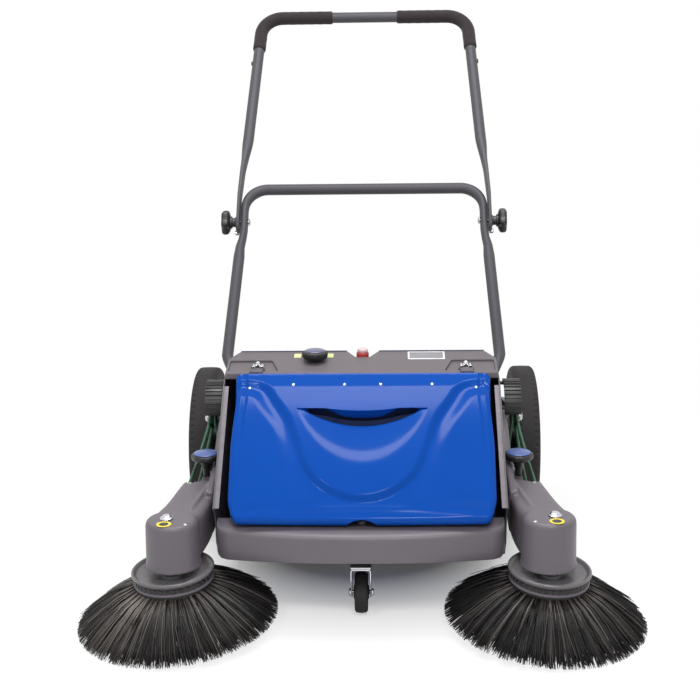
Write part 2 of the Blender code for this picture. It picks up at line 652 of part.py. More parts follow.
def make_wheel(side, tag):
    """A road wheel with its stub axle and, on the left, the ring gear that drives the main broom."""
    place = (0, AXLE_Y, AXLE_Z)
    body = Body(f"wheel_{tag}", (side * TYRE_INNER_X, AXLE_Y, AXLE_Z))

    def ring(profile, segments):
        return to_side(turned(profile, segments, place, "X", hollow=True), side)

    add_piece(f"tyre_{tag}", ring(wheel_profile_tyre(), WHEEL_SIDES), "tyre_black", body)
    add_piece(f"wheel_rim_{tag}", ring(wheel_profile_rim(), WHEEL_SIDES), "black_plastic", body)
    if side < 0:
        outline = gear_outline(WHEEL_TEETH, (AXLE_Y, AXLE_Z), mesh_direction())
        gear = add_piece("ring_gear", prism(outline, -GEAR_X1, -GEAR_X0), "black_plastic", body, smooth=0)
        cut(gear, rod(0.0700, -GEAR_X1 - 0.01, -GEAR_X0 + 0.01, 14, place), body)
        web_x = REAR_BELT_X - 0.0060 - GAP
        web = [(STUB_RADIUS + GAP, 0.2690), (0.0720, 0.2690), (0.0720, 0.2730), (0.0300, 0.2730),
               (0.0300, web_x), (STUB_RADIUS + GAP, web_x)]
        cut(gear, ring(web, 14), body, "UNION")
    stub = [(0, PLATE_X1 + GAP), (0.0220, PLATE_X1 + GAP), (0.0220, 0.2550), (0.0140, 0.2600),
            (STUB_RADIUS, 0.2605), (STUB_RADIUS, TYRE_OUTER_X - 0.0005), (0.0, TYRE_OUTER_X - 0.0005)]
    add_piece(f"stub_axle_{tag}", to_side(turned(stub, 14, place, "X"), side), "steel")


def arm_strip():
    """Upright strip of the arm, from the eye at its pivot forwards and down, as rings along Y."""
    stations = ((-0.0230, 0.2540, 0.2700), (-0.0300, 0.2460, 0.2780), (-0.0420, 0.2410, 0.2830),
                (-0.1000, 0.2150, 0.2700), (-0.1640, 0.1700, 0.2370), (-0.1820, 0.1620, 0.2308),
                (-0.2400, 0.1480, 0.2260), (-0.3100, 0.1350, 0.2080))
    rings = []
    for y, low, high in stations:
        x0, x1 = 0.2560, 0.2700
        e = 0.0030
        outline = ((x0 + e, low), (x1 - e, low), (x1, low + e), (x1, high - e), (x1 - e, high), (x0 + e, high),
                   (x0, high - e), (x0, low + e))
        rings.append([Vector((x, y, z)) for x, z in outline])
    return loft(rings)


def arm_box(inset, drop):
    """The broad part of the arm that flares out to the head; inset takes its wall off, drop opens it below."""
    stations = ((-0.1650, 0.2572, 0.2960, 0.1620, 0.1960), (-0.2050, 0.2570, 0.3140, 0.1500, 0.2040),
                (-0.2620, 0.2568, 0.3240, 0.1380, 0.2040), (-0.3300, 0.2585, 0.3390, 0.1260, 0.2034),
                (-0.3750, 0.2680, 0.3560, 0.1180, 0.2014), (-0.3980, 0.2800, 0.3590, 0.1150, 0.2008))
    rings = []
    for i, (y, x0, x1, low, high) in enumerate(stations):
        e = 0.0060
        if inset:
            y += (-inset if i == 0 else 0)
            x0, x1, low, high, e = x0 + inset, x1 - inset, low - drop, high - inset, 0.0040
        outline = ((x0, low), (x1, low), (x1, high - e), (x1 - e * 0.3, high - e * 0.3), (x1 - e, high),
                   (x0 + e, high), (x0 + e * 0.3, high - e * 0.3), (x0, high - e))
        rings.append([Vector((x, y, z)) for x, z in outline])
    return loft(rings)


def head_profile(inset, drop):
    """Section of the round head over the side broom."""
    base, top, edge = HEAD_BASE_RADIUS - inset, HEAD_TOP_RADIUS - inset, 0.0040
    low, high = HEAD_BOTTOM - drop, HEAD_TOP - inset
    return [(0, low), (base, low), (base, HEAD_BOTTOM + 0.004), (top, high - edge),
            (top - edge * 0.3, high - edge * 0.3), (top - edge, high), (0, high)]


def lean_matrix(side):
    """Turn from the upright to the side broom's leaning axis."""
    return Matrix.Rotation(side * LEAN_OUT, 4, "Y") @ Matrix.Rotation(LEAN_FORWARD, 4, "X")


def belt_front_path():
    """Loop of the front belt on the right: over the pivot's idler, down the arm and round the head's sheave."""
    turns = np.radians((-68, -42, -16, 10, 36, 62, 88, 110))
    eye = Vector((FRONT_BELT_X, ARM_PIVOT_Y, ARM_PIVOT_Z))
    top = [eye + IDLER_RADIUS * Vector((0, math.cos(a), math.sin(a))) for a in turns]
    lean = lean_matrix(1)
    centre = Vector((SIDE_X, SIDE_Y, 0)) + (lean @ Vector((0, 0, SHEAVE_HEIGHT)))
    turns = np.radians((20, -5, -30, -55, -80, -105, -130, -155, -180, -205))
    around = [centre + lean @ (IDLER_RADIUS * Vector((math.cos(a), math.sin(a), 0))) for a in turns]
    ahead = [Vector((0.2922, -0.1000, 0.2560)), Vector((0.3040, -0.2000, 0.2130)),
             Vector((0.3130, -0.2600, 0.1890)), Vector((0.3320, -0.3400, 0.1770))]
    behind = [Vector((0.3010, -0.3400, 0.1770)), Vector((0.2955, -0.2600, 0.1860)),
              Vector((0.2935, -0.2000, 0.2000)), Vector((0.2918, -0.1000, 0.2270))]
    return top + ahead + around + behind


def make_side(side, tag):
    """Everything that one side broom's arm carries, with its pivot bracket, adjuster and belts."""
    pivot = (0, ARM_PIVOT_Y, ARM_PIVOT_Z)
    arm = Body(f"arm_{tag}", (side * 0.2630, ARM_PIVOT_Y, ARM_PIVOT_Z))
    shape = add_piece(f"arm_{tag}", to_side(arm_box(0.0, 0.0), side), "body_grey", arm, smooth=40)
    cut(shape, to_side(turned(head_profile(0, 0), 16, (HEAD_X, HEAD_Y, 0)), side), arm, "UNION")
    cut(shape, to_side(arm_strip(), side), arm, "UNION")
    cut(shape, to_side(arm_box(ARM_WALL, 0.03), side), arm)
    cut(shape, to_side(turned(head_profile(ARM_WALL, 0.03), 12, (HEAD_X, HEAD_Y, 0)), side), arm)
    slot = [(0.2885, -0.1500), (0.3280, -0.1500), (0.3200, -0.2050), (0.3200, -0.2450), (0.2885, -0.2450)]
    cut(shape, to_side(prism(slot, 0.1740, 0.2300, "Z"), side), arm)
    cut(shape, to_side(rod(PIN_BORE, 0.25, 0.28, 10, pivot), side), arm)
    cut(shape, to_side(rod(PIN_BORE, 0.10, 0.24, 10, (ADJUSTER_X, ADJUSTER_Y, 0), "Z"), side), arm)
    lean = lean_matrix(side)
    foot = Vector((side * SIDE_X, SIDE_Y, 0))
    spindle_hole = rod(PIN_BORE + 0.0002, 0.15, 0.23, 10, along="Z")
    spindle_hole.transform(Matrix.Translation(foot) @ lean)
    cut(shape, spindle_hole, arm)

    broom = Body(f"side_broom_{tag}", foot, arm, lean)
    disc = [(0, 0.0990), (0.0560, 0.0990), (0.0640, 0.1010), (0.0665, FLANGE_TOP),
            (FLANGE_RADIUS, FLANGE_TOP - 0.001), (FLANGE_RADIUS, 0.0975), (0.0620, 0.0950), (0.0600, 0.0920),
            (0.0665, 0.0905), (0.0680, 0.0880), (0.0680, BACKING_Z + GAP), (0, BACKING_Z + GAP)]
    add_piece(f"side_broom_disc_{tag}", turned(disc, 18), "body_grey", broom, local=True)
    add_piece(f"side_broom_bristles_{tag}", to_side(side_bristles(), side), "bristle_black", broom, True, 0)
    low, high = SHEAVE_HEIGHT - 0.0039, SHEAVE_HEIGHT + 0.0039
    lip = IDLER_RADIUS + 0.0015
    spindle = [(0, 0.0990 + GAP), (0.0200, 0.0990 + GAP), (0.0200, 0.1100), (0.0100, 0.1150),
               (PIN_RADIUS, 0.1180), (PIN_RADIUS, low - 0.0020), (lip, low - 0.0010),
               *groove(IDLER_RADIUS, SHEAVE_HEIGHT), (lip, high + 0.0010), (PIN_RADIUS, high + 0.0020),
               (PIN_RADIUS, 0.2045), (0.0095, 0.2045), (0.0095, 0.2070), (0.0070, 0.2110), (0, 0.2125)]
    add_piece(f"side_broom_spindle_{tag}", turned(spindle, 9), "steel", broom, local=True)

    belt = [Vector((side * p.x, p.y, p.z)) for p in belt_front_path()]
    add_piece(f"front_belt_{tag}", sweep(belt, BELT_RADIUS, 5, closed=True), "belt_green", arm)
    belt = [Vector((side * REAR_BELT_X, y, z)) for y, z in belt_rear_path()]
    add_piece(f"rear_belt_{tag}", sweep(belt, BELT_RADIUS, 5, closed=True), "belt_green")

    idler = Body(f"idler_{tag}", (side * REAR_BELT_X, ARM_PIVOT_Y, ARM_PIVOT_Z))
    grooves = groove(IDLER_RADIUS, REAR_BELT_X) + groove(IDLER_RADIUS, FRONT_BELT_X)
    pulley = [(PIN_BORE, 0.2788), (lip, 0.2788), *grooves, (lip, 0.2962), (PIN_BORE, 0.2962)]
    shape = to_side(turned(pulley, 10, pivot, "X", hollow=True), side)
    add_piece(f"idler_{tag}", shape, "black_plastic", idler)
    stud = [(0, PLATE_X1 + GAP), (0.0120, PLATE_X1 + GAP), (0.0120, 0.2556), (PIN_RADIUS, 0.2556),
            (PIN_RADIUS, 0.2966), (0.0100, 0.2966), (0.0100, 0.3010), (0.0060, 0.3045), (0, 0.3050)]
    add_piece(f"arm_pivot_{tag}", to_side(turned(stud, 12, pivot, "X"), side), "steel")

    knob = Body(f"adjuster_{tag}", (side * ADJUSTER_X, ADJUSTER_Y, 0.2400), arm)
    stem = [(0, 0.1420), (0.0055, 0.1420), (PIN_RADIUS, 0.1440), (PIN_RADIUS, 0.2185), (0.0090, 0.2200),
            (0.0095, 0.2360), (0, 0.2360)]
    place = (side * ADJUSTER_X, ADJUSTER_Y, 0)
    levels = ((0.60, 0.2333), (0.97, 0.2360), (1.0, 0.2430), (0.93, 0.2458))
    rim = knob_shape(0.0262, 6, 0.0022, levels)
    rim.transform(Matrix.Translation(place))
    grip = add_piece(f"adjuster_knob_{tag}", rim, "black_plastic", knob)
    cut(grip, turned(stem, 10, place), knob, "UNION")
    dome = [(0, 0.2461), (0.0215, 0.2461), (0.0205, 0.2478), (0.0150, 0.2500), (0.0070, 0.2512), (0, 0.2515)]
    cap = turned(dome, 16, place)
    add_piece(f"adjuster_cap_{tag}", cap, "cap_blue", knob)
    ledge = [(PLATE_X1 + GAP, 0.1160), (PLATE_X1 + 0.0030, 0.1160), (PLATE_X1 + 0.0030, 0.1385),
             (0.2920, 0.1385), (0.2920, 0.1417), (PLATE_X1 + GAP, 0.1417)]
    rings = [[Vector((x, y, z)) for x, z in ledge] for y in (-0.2300, -0.1940)]
    add_piece(f"arm_stop_{tag}", to_side(loft(rings), side), "sheet_grey")


def belt_rear_path():
    """Loop of the rear belt in the YZ plane: the outer tangents between the wheel's sheave and the idler."""
    big, small = WHEEL_SHEAVE_RADIUS, IDLER_RADIUS
    away = (ARM_PIVOT_Y - AXLE_Y, ARM_PIVOT_Z - AXLE_Z)
    heading = math.degrees(math.atan2(away[1], away[0]))
    spread = math.degrees(math.acos((big - small) / math.hypot(*away)))
    first = arc((ARM_PIVOT_Y, ARM_PIVOT_Z), small, heading - spread, heading + spread, 5)
    second = arc((AXLE_Y, AXLE_Z), big, heading + spread, heading + 360 - spread, 15)
    return first + second


def side_bristles():
    """Side-broom bristles: every second cell of a backing ring grows into a strand that flares outwards."""
    around, rings = 50, 4
    inner, outer, thick = 0.0460, 0.0665, 0.0040
    shape = bmesh.new()
    rng = np.random.default_rng(7)
    low = BACKING_Z - thick

    def spot(radius, turn, height):
        angle = 2 * math.pi * turn / around
        return Vector((radius * math.cos(angle), radius * math.sin(angle), height))

    radii = [inner + (outer - inner) * k / rings for k in range(rings + 1)]
    under = [[shape.verts.new(spot(r, j, low)) for j in range(around)] for r in radii]
    upper = [[shape.verts.new(spot(r, j, BACKING_Z)) for j in range(around)] for r in (inner, outer)]
    for i in range(rings):
        for j in range(around):
            k = (j + 1) % around
            corners = [under[i][j], under[i + 1][j], under[i + 1][k], under[i][k]]
            if (i + j) % 2:
                shape.faces.new(corners)
                continue
            reach = BRISTLE_RADIUS * (0.66 + 0.34 * (i + 0.5) / (rings - 0.5)) - rng.uniform(0, 0.004)
            centre = spot(reach, j + 0.5 + rng.uniform(-0.12, 0.12), BRISTLE_TIP_Z)
            root = spot((radii[i] + radii[i + 1]) / 2, j + 0.5, low)
            grow_strand(shape, corners, centre, root, STRAND_TAPER)
    for j in range(around):
        k = (j + 1) % around
        shape.faces.new((upper[0][j], upper[0][k], upper[1][k], upper[1][j]))
        shape.faces.new((under[0][j], under[0][k], upper[0][k], upper[0][j]))
        shape.faces.new((under[-1][j], upper[1][j], upper[1][k], under[-1][k]))
    return shape


def handle_point(z, x):
    """A point on the handle's slanting line at a height, and at a distance x from the middle."""
    share = (z - LOOP_FOOT.z) / (GRIP_TOP_Z - LOOP_FOOT.z)
    return Vector((x, LOOP_FOOT.y + (GRIP_TOP_Y - LOOP_FOOT.y) * share, z))


def make_lower_loop():
    """Lower handle: one bent tube whose feet are pressed flat and bolted to the side plates."""
    foot_x = PLATE_X1 + GAP + 0.0032
    right = [handle_point(0.2900, foot_x), handle_point(0.3200, foot_x), handle_point(0.3420, foot_x + 0.0008)]
    bend = [handle_point(0.3750, LOOP_FOOT.x), handle_point(LOOP_TOP_Z, LOOP_TOP_X)]
    left_bend = [Vector((-p.x, p.y, p.z)) for p in bend[::-1]]
    curve = rounded(bend + left_bend, LOOP_BEND, 4)
    path = right + curve + [Vector((-p.x, p.y, p.z)) for p in right[::-1]]
    flat = [(0.0030, 0.0170), (0.0030, 0.0170), (0.0036, 0.0165)]
    sizes = flat + [(TUBE_RADIUS, TUBE_RADIUS)] * len(curve) + flat[::-1]
    across = Vector((1, 0, 0))
    turns = []
    for i in range(len(path)):
        turns.append((path[min(i + 1, len(path) - 1)] - path[max(i - 1, 0)]).normalized())
    level = (handle_point(1.0, 0) - handle_point(0.4, 0)).normalized().cross(across)
    rings = []
    for point, ahead, (wide, deep) in zip(path, turns, sizes):
        out = level.cross(ahead).normalized()
        rings.append(section_ring(point, out, level, wide, deep, TUBE_SIDES))
    loop = add_piece("lower_handle", loft(rings), "tube_grey", smooth=40)
    for side in (1, -1):
        cut(loop, to_side(rod(BOLT_BORE, 0.20, 0.28, 10, (0, CLAMP_Y, CLAMP_Z)), side))


def section_ring(point, out, level, wide, deep, segments):
    """Points round a tube's section: round where its half sizes agree, squared off where it is pressed flat."""
    ring = []
    for k in range(segments):
        angle = 2 * math.pi * (k + 0.5) / segments
        c, s = math.cos(angle), math.sin(angle)
        power = 1.0 if wide == deep else 0.5
        ring.append(point + out * (math.copysign(abs(c) ** power, c) * wide)
                    + level * (math.copysign(abs(s) ** power, s) * deep))
    return ring


def make_upper_handle():
    """Upper handle that folds forwards at its clamps, its foam grips, clamp bolts and knobs."""
    body = Body("upper_handle", (0, CLAMP_Y, CLAMP_Z))
    right = [handle_point(0.5860, STRAP_X), handle_point(0.5930, STRAP_X), handle_point(0.6500, STRAP_X),
             handle_point(0.6760, STRAP_X - 0.0010)]
    bend = [handle_point(0.7250, 0.2425), handle_point(GRIP_TOP_Z, GRIP_TOP_X)]
    left_bend = [Vector((-p.x, p.y, p.z)) for p in bend[::-1]]
    curve = rounded(bend + left_bend, GRIP_BEND, 4)
    path = right + curve + [Vector((-p.x, p.y, p.z)) for p in right[::-1]]
    flat = [(STRAP_HALF, 0.0130), (STRAP_HALF, 0.0165), (STRAP_HALF, 0.0165), (STRAP_HALF + 0.0010, 0.0162)]
    sizes = flat + [(TUBE_RADIUS, TUBE_RADIUS)] * len(curve) + flat[::-1]
    level = (handle_point(1.0, 0) - handle_point(0.4, 0)).normalized().cross(Vector((1, 0, 0)))
    rings = []
    for i, (point, (wide, deep)) in enumerate(zip(path, sizes)):
        ahead = (path[min(i + 1, len(path) - 1)] - path[max(i - 1, 0)]).normalized()
        rings.append(section_ring(point, level.cross(ahead).normalized(), level, wide, deep, TUBE_SIDES))
    handle = add_piece("upper_handle", loft(rings), "tube_grey", body, smooth=40)
    for side in (1, -1):
        cut(handle, to_side(rod(BOLT_BORE, 0.25, 0.27, 10, (0, CLAMP_Y, CLAMP_Z)), side), body)
    grip_end = GRIP_TOP_Z - GRIP_DROP
    corner = rounded([handle_point(grip_end, grip_x(grip_end)), handle_point(GRIP_TOP_Z, GRIP_TOP_X),
                      handle_point(GRIP_TOP_Z, GRIP_HALF_GAP)], GRIP_BEND, 4)
    for side, tag in ((1, "right"), (-1, "left")):
        path = [Vector((side * p.x, p.y, p.z)) for p in corner]
        add_piece(f"grip_{tag}", sleeve(path, GRIP_RADIUS, TUBE_RADIUS + GAP), "foam_black", body)
        bolt_profile = [(0, 0.2195), (0.0065, 0.2195), (0.0080, 0.2225), (BOLT_RADIUS, 0.2225),
                        (BOLT_RADIUS, 0.2790), (0, 0.2790)]
        bolt = turned(bolt_profile, 10, (0, CLAMP_Y, CLAMP_Z), "X")
        add_piece(f"clamp_bolt_{tag}", to_side(bolt, side), "steel", body)
        knob = Body(f"clamp_knob_{tag}", (side * 0.2800, CLAMP_Y, CLAMP_Z), body)
        levels = ((0.36, 0.2618), (0.36, 0.2800), (0.88, 0.2830), (1.0, 0.2860), (1.0, 0.2945), (0.90, 0.2980),
                  (0.50, 0.2990))
        shape = knob_shape(0.0260, 6, 0.0040, levels)
        shape.transform(Matrix.Rotation(math.pi / 2, 4, "Y"))
        shape.transform(Matrix.Translation((0, CLAMP_Y, CLAMP_Z)))
        piece = add_piece(f"clamp_knob_{tag}", to_side(shape, side), "black_plastic", knob)
        cut(piece, to_side(rod(BOLT_BORE, 0.25, 0.2800, 10, (0, CLAMP_Y, CLAMP_Z)), side), knob)


def grip_x(z):
    """Distance of the upper handle's leg from the middle at a height."""
    share = (z - 0.7250) / (GRIP_TOP_Z - 0.7250)
    return 0.2425 + (GRIP_TOP_X - 0.2425) * share


def make_caster():
    """Swivelling front caster: fixed plate, chromed fork, wheel and its axle bolt."""
    axis_y = CASTER_Y - CASTER_TRAIL
    half, top = 0.0290, CASTER_PLATE_Z + 0.0040
    plate = block((-half, axis_y - half, CASTER_PLATE_Z), (half, axis_y + half, top))
    add_piece("caster_plate", plate, "steel")
    swivel = Body("caster_fork", (0, axis_y, 0.0900))
    leg_y, leg_z = CASTER_Y - axis_y, CASTER_RADIUS
    side_view = [(-0.0190, 0.0880), (-0.0190, 0.0700), (leg_y - 0.0110, leg_z - 0.0020),
                 (leg_y - 0.0060, leg_z - 0.0090), (leg_y + 0.0060, leg_z - 0.0090), (leg_y + 0.0110, leg_z),
                 (0.0230, 0.0700), (0.0230, 0.0880)]
    side_view = [(axis_y + y, z) for y, z in side_view]
    fork = add_piece("caster_fork", prism(side_view, -0.0178, 0.0178), "steel", swivel)
    inside = block((-0.0153, axis_y - 0.05, 0.0), (0.0153, axis_y + 0.07, 0.0852))
    cut(fork, inside, swivel)
    race = [(0, 0.0870), (0.0240, 0.0870), (0.0255, 0.0900), (0.0240, 0.0935), (0.0170, CASTER_PLATE_Z - GAP),
            (0, CASTER_PLATE_Z - GAP)]
    cut(fork, turned(race, 14, (0, axis_y, 0)), swivel, "UNION")
    cut(fork, rod(BOLT_BORE, -0.03, 0.03, 10, (0, CASTER_Y, leg_z)), swivel)
    bolt = [(0, -0.0225), (0.0070, -0.0225), (0.0070, -0.0181), (BOLT_RADIUS, -0.0181), (BOLT_RADIUS, 0.0181),
            (0.0070, 0.0181), (0.0070, 0.0225), (0, 0.0225)]
    add_piece("caster_axle", turned(bolt, 10, (0, CASTER_Y, leg_z), "X"), "steel", swivel)
    wheel = Body("caster_wheel", (0, CASTER_Y, leg_z), swivel)
    tread, half = CASTER_RADIUS, CASTER_HALF
    section = [(BOLT_BORE, -0.0135), (0.0120, -0.0135), (0.0130, -half + 0.002), (tread - 0.003, -half),
               (tread, -half + 0.004), (tread, half - 0.004), (tread - 0.003, half), (0.0130, half - 0.002),
               (0.0120, 0.0135), (BOLT_BORE, 0.0135)]
    add_piece("caster_wheel", turned(section, 16, (0, CASTER_Y, leg_z), "X", hollow=True), "tyre_black", wheel)


def make_beam_controls():
    """The main broom's height knob and the sprung thumb catch in the beam's notch."""
    knob_x, knob_y = -0.0860, -0.1180
    base_z = BEAM_FRONT_Z + (knob_y - BEAM_FRONT_Y) * BEAM_SLOPE
    body = Body("height_knob", (knob_x, knob_y, base_z))
    levels = ((0.30, 0.0022), (0.30, 0.0100), (0.86, 0.0130), (1.0, 0.0170), (1.0, 0.0240), (0.86, 0.0285),
              (0.50, 0.0305))
    shape = knob_shape(0.0235, 6, 0.0018, levels)
    shape.transform(Matrix.Translation((knob_x, knob_y, base_z)))
    add_piece("height_knob", shape, "black_plastic", body)
    catch = Body("thumb_catch", (CATCH_X, CATCH_Y, 0.3900))
    profile = [(0, 0.3856), (CATCH_RADIUS, 0.3856), (CATCH_RADIUS, 0.4020), (0.0076, 0.4035), (0.0074, 0.4085),
               (0.0058, 0.4100), (0, 0.4105)]
    add_piece("thumb_catch", turned(profile, 12, (CATCH_X, CATCH_Y, 0)), "latch_red", catch)


def main():
    """Build the whole sweeper."""
    clear_scene()
    make_side_plates()
    make_bumper()
    make_crossmember()
    make_beam()
    make_catches()
    make_hood()
    make_main_broom()
    make_beam_controls()
    make_hopper()
    for side, tag in ((1, "right"), (-1, "left")):
        make_wheel(side, tag)
        make_side(side, tag)
    make_lower_loop()
    make_upper_handle()
    make_caster()


main()
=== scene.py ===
"""Looks of the push-along floor sweeper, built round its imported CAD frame.

Metres, +Z up. The machine rolls towards -Y and its right-hand pieces are at positive X. Each sub-assembly is a
class: its fields are sizes taken from the CAD part, and its build method makes the pieces and dresses them.
"""
import logging
import math
from collections.abc import Callable
from dataclasses import dataclass
from enum import Enum

import bmesh
import bpy
import numpy as np
from mathutils import Matrix, Vector


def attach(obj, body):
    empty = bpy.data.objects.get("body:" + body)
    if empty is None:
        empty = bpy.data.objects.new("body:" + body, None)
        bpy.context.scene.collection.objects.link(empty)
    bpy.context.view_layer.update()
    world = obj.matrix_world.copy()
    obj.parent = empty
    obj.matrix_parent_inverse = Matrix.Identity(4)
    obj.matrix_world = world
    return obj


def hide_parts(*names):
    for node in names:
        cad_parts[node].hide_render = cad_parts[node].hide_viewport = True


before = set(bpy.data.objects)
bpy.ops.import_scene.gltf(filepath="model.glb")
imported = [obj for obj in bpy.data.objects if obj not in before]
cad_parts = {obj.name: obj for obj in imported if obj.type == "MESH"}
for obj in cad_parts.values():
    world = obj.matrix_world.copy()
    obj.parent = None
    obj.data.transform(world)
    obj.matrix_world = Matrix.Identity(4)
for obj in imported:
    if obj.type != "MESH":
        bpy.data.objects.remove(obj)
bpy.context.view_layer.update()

Array = np.ndarray
Piece = bpy.types.Object
log = logging.getLogger("sweeper")
SIDES = ((1, "right"), (-1, "left"))
BROOM_SPOT = (0.312, -0.392)
BROOM_LEAN = (3.5, 2.5)
MAIN_AXIS = (0.015, 0.1335)
WHEEL_AXIS = (0.13, 0.155)
WHEEL_SHEAVE = 0.088
REAR_BELT_X = 0.2835


class Along(Enum):
    """The axis that a turned or extruded shape follows, as the order of its three coordinates."""

    X = (2, 0, 1)
    Y = (1, 2, 0)
    Z = (0, 1, 2)


def ease(value: Array, low: float = 0.0, high: float = 1.0) -> Array:
    """Smooth step: 0 below low, 1 above high, and 3t^2 - 2t^3 between them."""
    share = np.clip((value - low) / (high - low), 0.0, 1.0)
    return share * share * (3 - 2 * share)


def unit(vectors: Array) -> Array:
    """Vectors divided by their length."""
    return vectors / np.linalg.norm(vectors, axis=-1, keepdims=True)


def tenths(*rows: tuple) -> Array:
    """Rows of lengths that are written in tenths of a millimetre, in metres."""
    return np.array(rows, float) / 10000


def oblong(x0: float, x1: float, y0: float, y1: float) -> Array:
    """Corners of a rectangle, from (x0, y0) round by (x1, y0) and (x1, y1)."""
    return np.array([(x0, y0), (x1, y0), (x1, y1), (x0, y1)])


def mirrored(points: Array, side: int) -> Array:
    """Points with X multiplied by side, 1 for the right and -1 for the left."""
    return np.asarray(points, float) * (side, 1, 1)


def softened(corners: Array, reach: float, steps: int = 4, closed: bool = False) -> Array:
    """Round the corners of a polyline.

    Each corner becomes a quadratic Bezier, (1-t)^2 a + 2t(1-t) c + t^2 b, between points a and b at a reach from the
    corner c along its two sides, or at 0.45 of a side that is shorter.

    Args:
        corners: Corner points, in rows.
        reach: Distance from a corner to where its curve starts.
        steps: Points of each curve.
        closed: True where the last corner joins the first.

    Returns:
        The points of the rounded line.
    """
    corners = np.asarray(corners, float)
    middle = corners if closed else corners[1:-1]
    before = np.roll(corners, 1, 0) if closed else corners[:-2]
    after = np.roll(corners, -1, 0) if closed else corners[2:]
    t = np.linspace(0, 1, steps)[None, :, None]
    ends = []
    for other in (before, after):
        away = other - middle
        length = np.maximum(np.linalg.norm(away, axis=1, keepdims=True), 1e-9)
        ends.append(middle + away / length * np.minimum(reach, 0.45 * length))
    curve = (1 - t) ** 2 * ends[0][:, None] + 2 * t * (1 - t) * middle[:, None] + t * t * ends[1][:, None]
    curve = curve.reshape(-1, corners.shape[1])
    return curve if closed else np.vstack((corners[:1], curve, corners[-1:]))


def bent(points: Array, radius: float, steps: int = 14) -> Array:
    """Carry a path round its inner corners on true arcs of a radius.

    The arc's centre is on the corner's bisector at radius / sin(half angle), and its points turn evenly from one
    tangent point to the other.

    Args:
        points: Corners of the path.
        radius: Radius of every bend.
        steps: Steps of every bend.

    Returns:
        The points of the path.
    """
    points = np.asarray(points, float)
    path = [points[:1]]
    for before, corner, after in zip(points, points[1:], points[2:]):
        back, ahead = unit(before - corner), unit(after - corner)
        half = math.acos(float(np.clip(back @ ahead, -1, 1))) / 2
        centre = corner + unit(back + ahead) * radius / math.sin(half)
        start = unit(corner + back * radius / math.tan(half) - centre)
        across = unit(ahead - start * (ahead @ start))
        turn = np.linspace(0, math.pi - 2 * half, steps + 1)[:, None]
        path.append(centre + radius * (start * np.cos(turn) + across * np.sin(turn)))
    return np.vstack([*path, points[-1:]])


def arc(centre: tuple[float, float], radius: float, start: float, stop: float, steps: int = 24) -> Array:
    """Points of an arc in a plane, centre + radius (cos a, sin a), with its two angles in degrees."""
    turn = np.radians(np.linspace(start, stop, steps + 1))
    return np.asarray(centre) + radius * np.stack((np.cos(turn), np.sin(turn)), -1)


def inset(outline: Array, amount: float) -> Array:
    """Move a closed outline inwards along its mitred corner normals, (m + n) / (1 + m.n) for two edge normals."""
    edge = unit(np.roll(outline, -1, 0) - outline)
    normal = np.stack((-edge[:, 1], edge[:, 0]), -1)
    before = np.roll(normal, 1, 0)
    mitre = (normal + before) / np.maximum(1 + (normal * before).sum(1, keepdims=True), 0.35)
    x, y = outline.T
    area = (x * np.roll(y, -1) - np.roll(x, -1) * y).sum()
    return outline + mitre * amount * math.copysign(1, area)


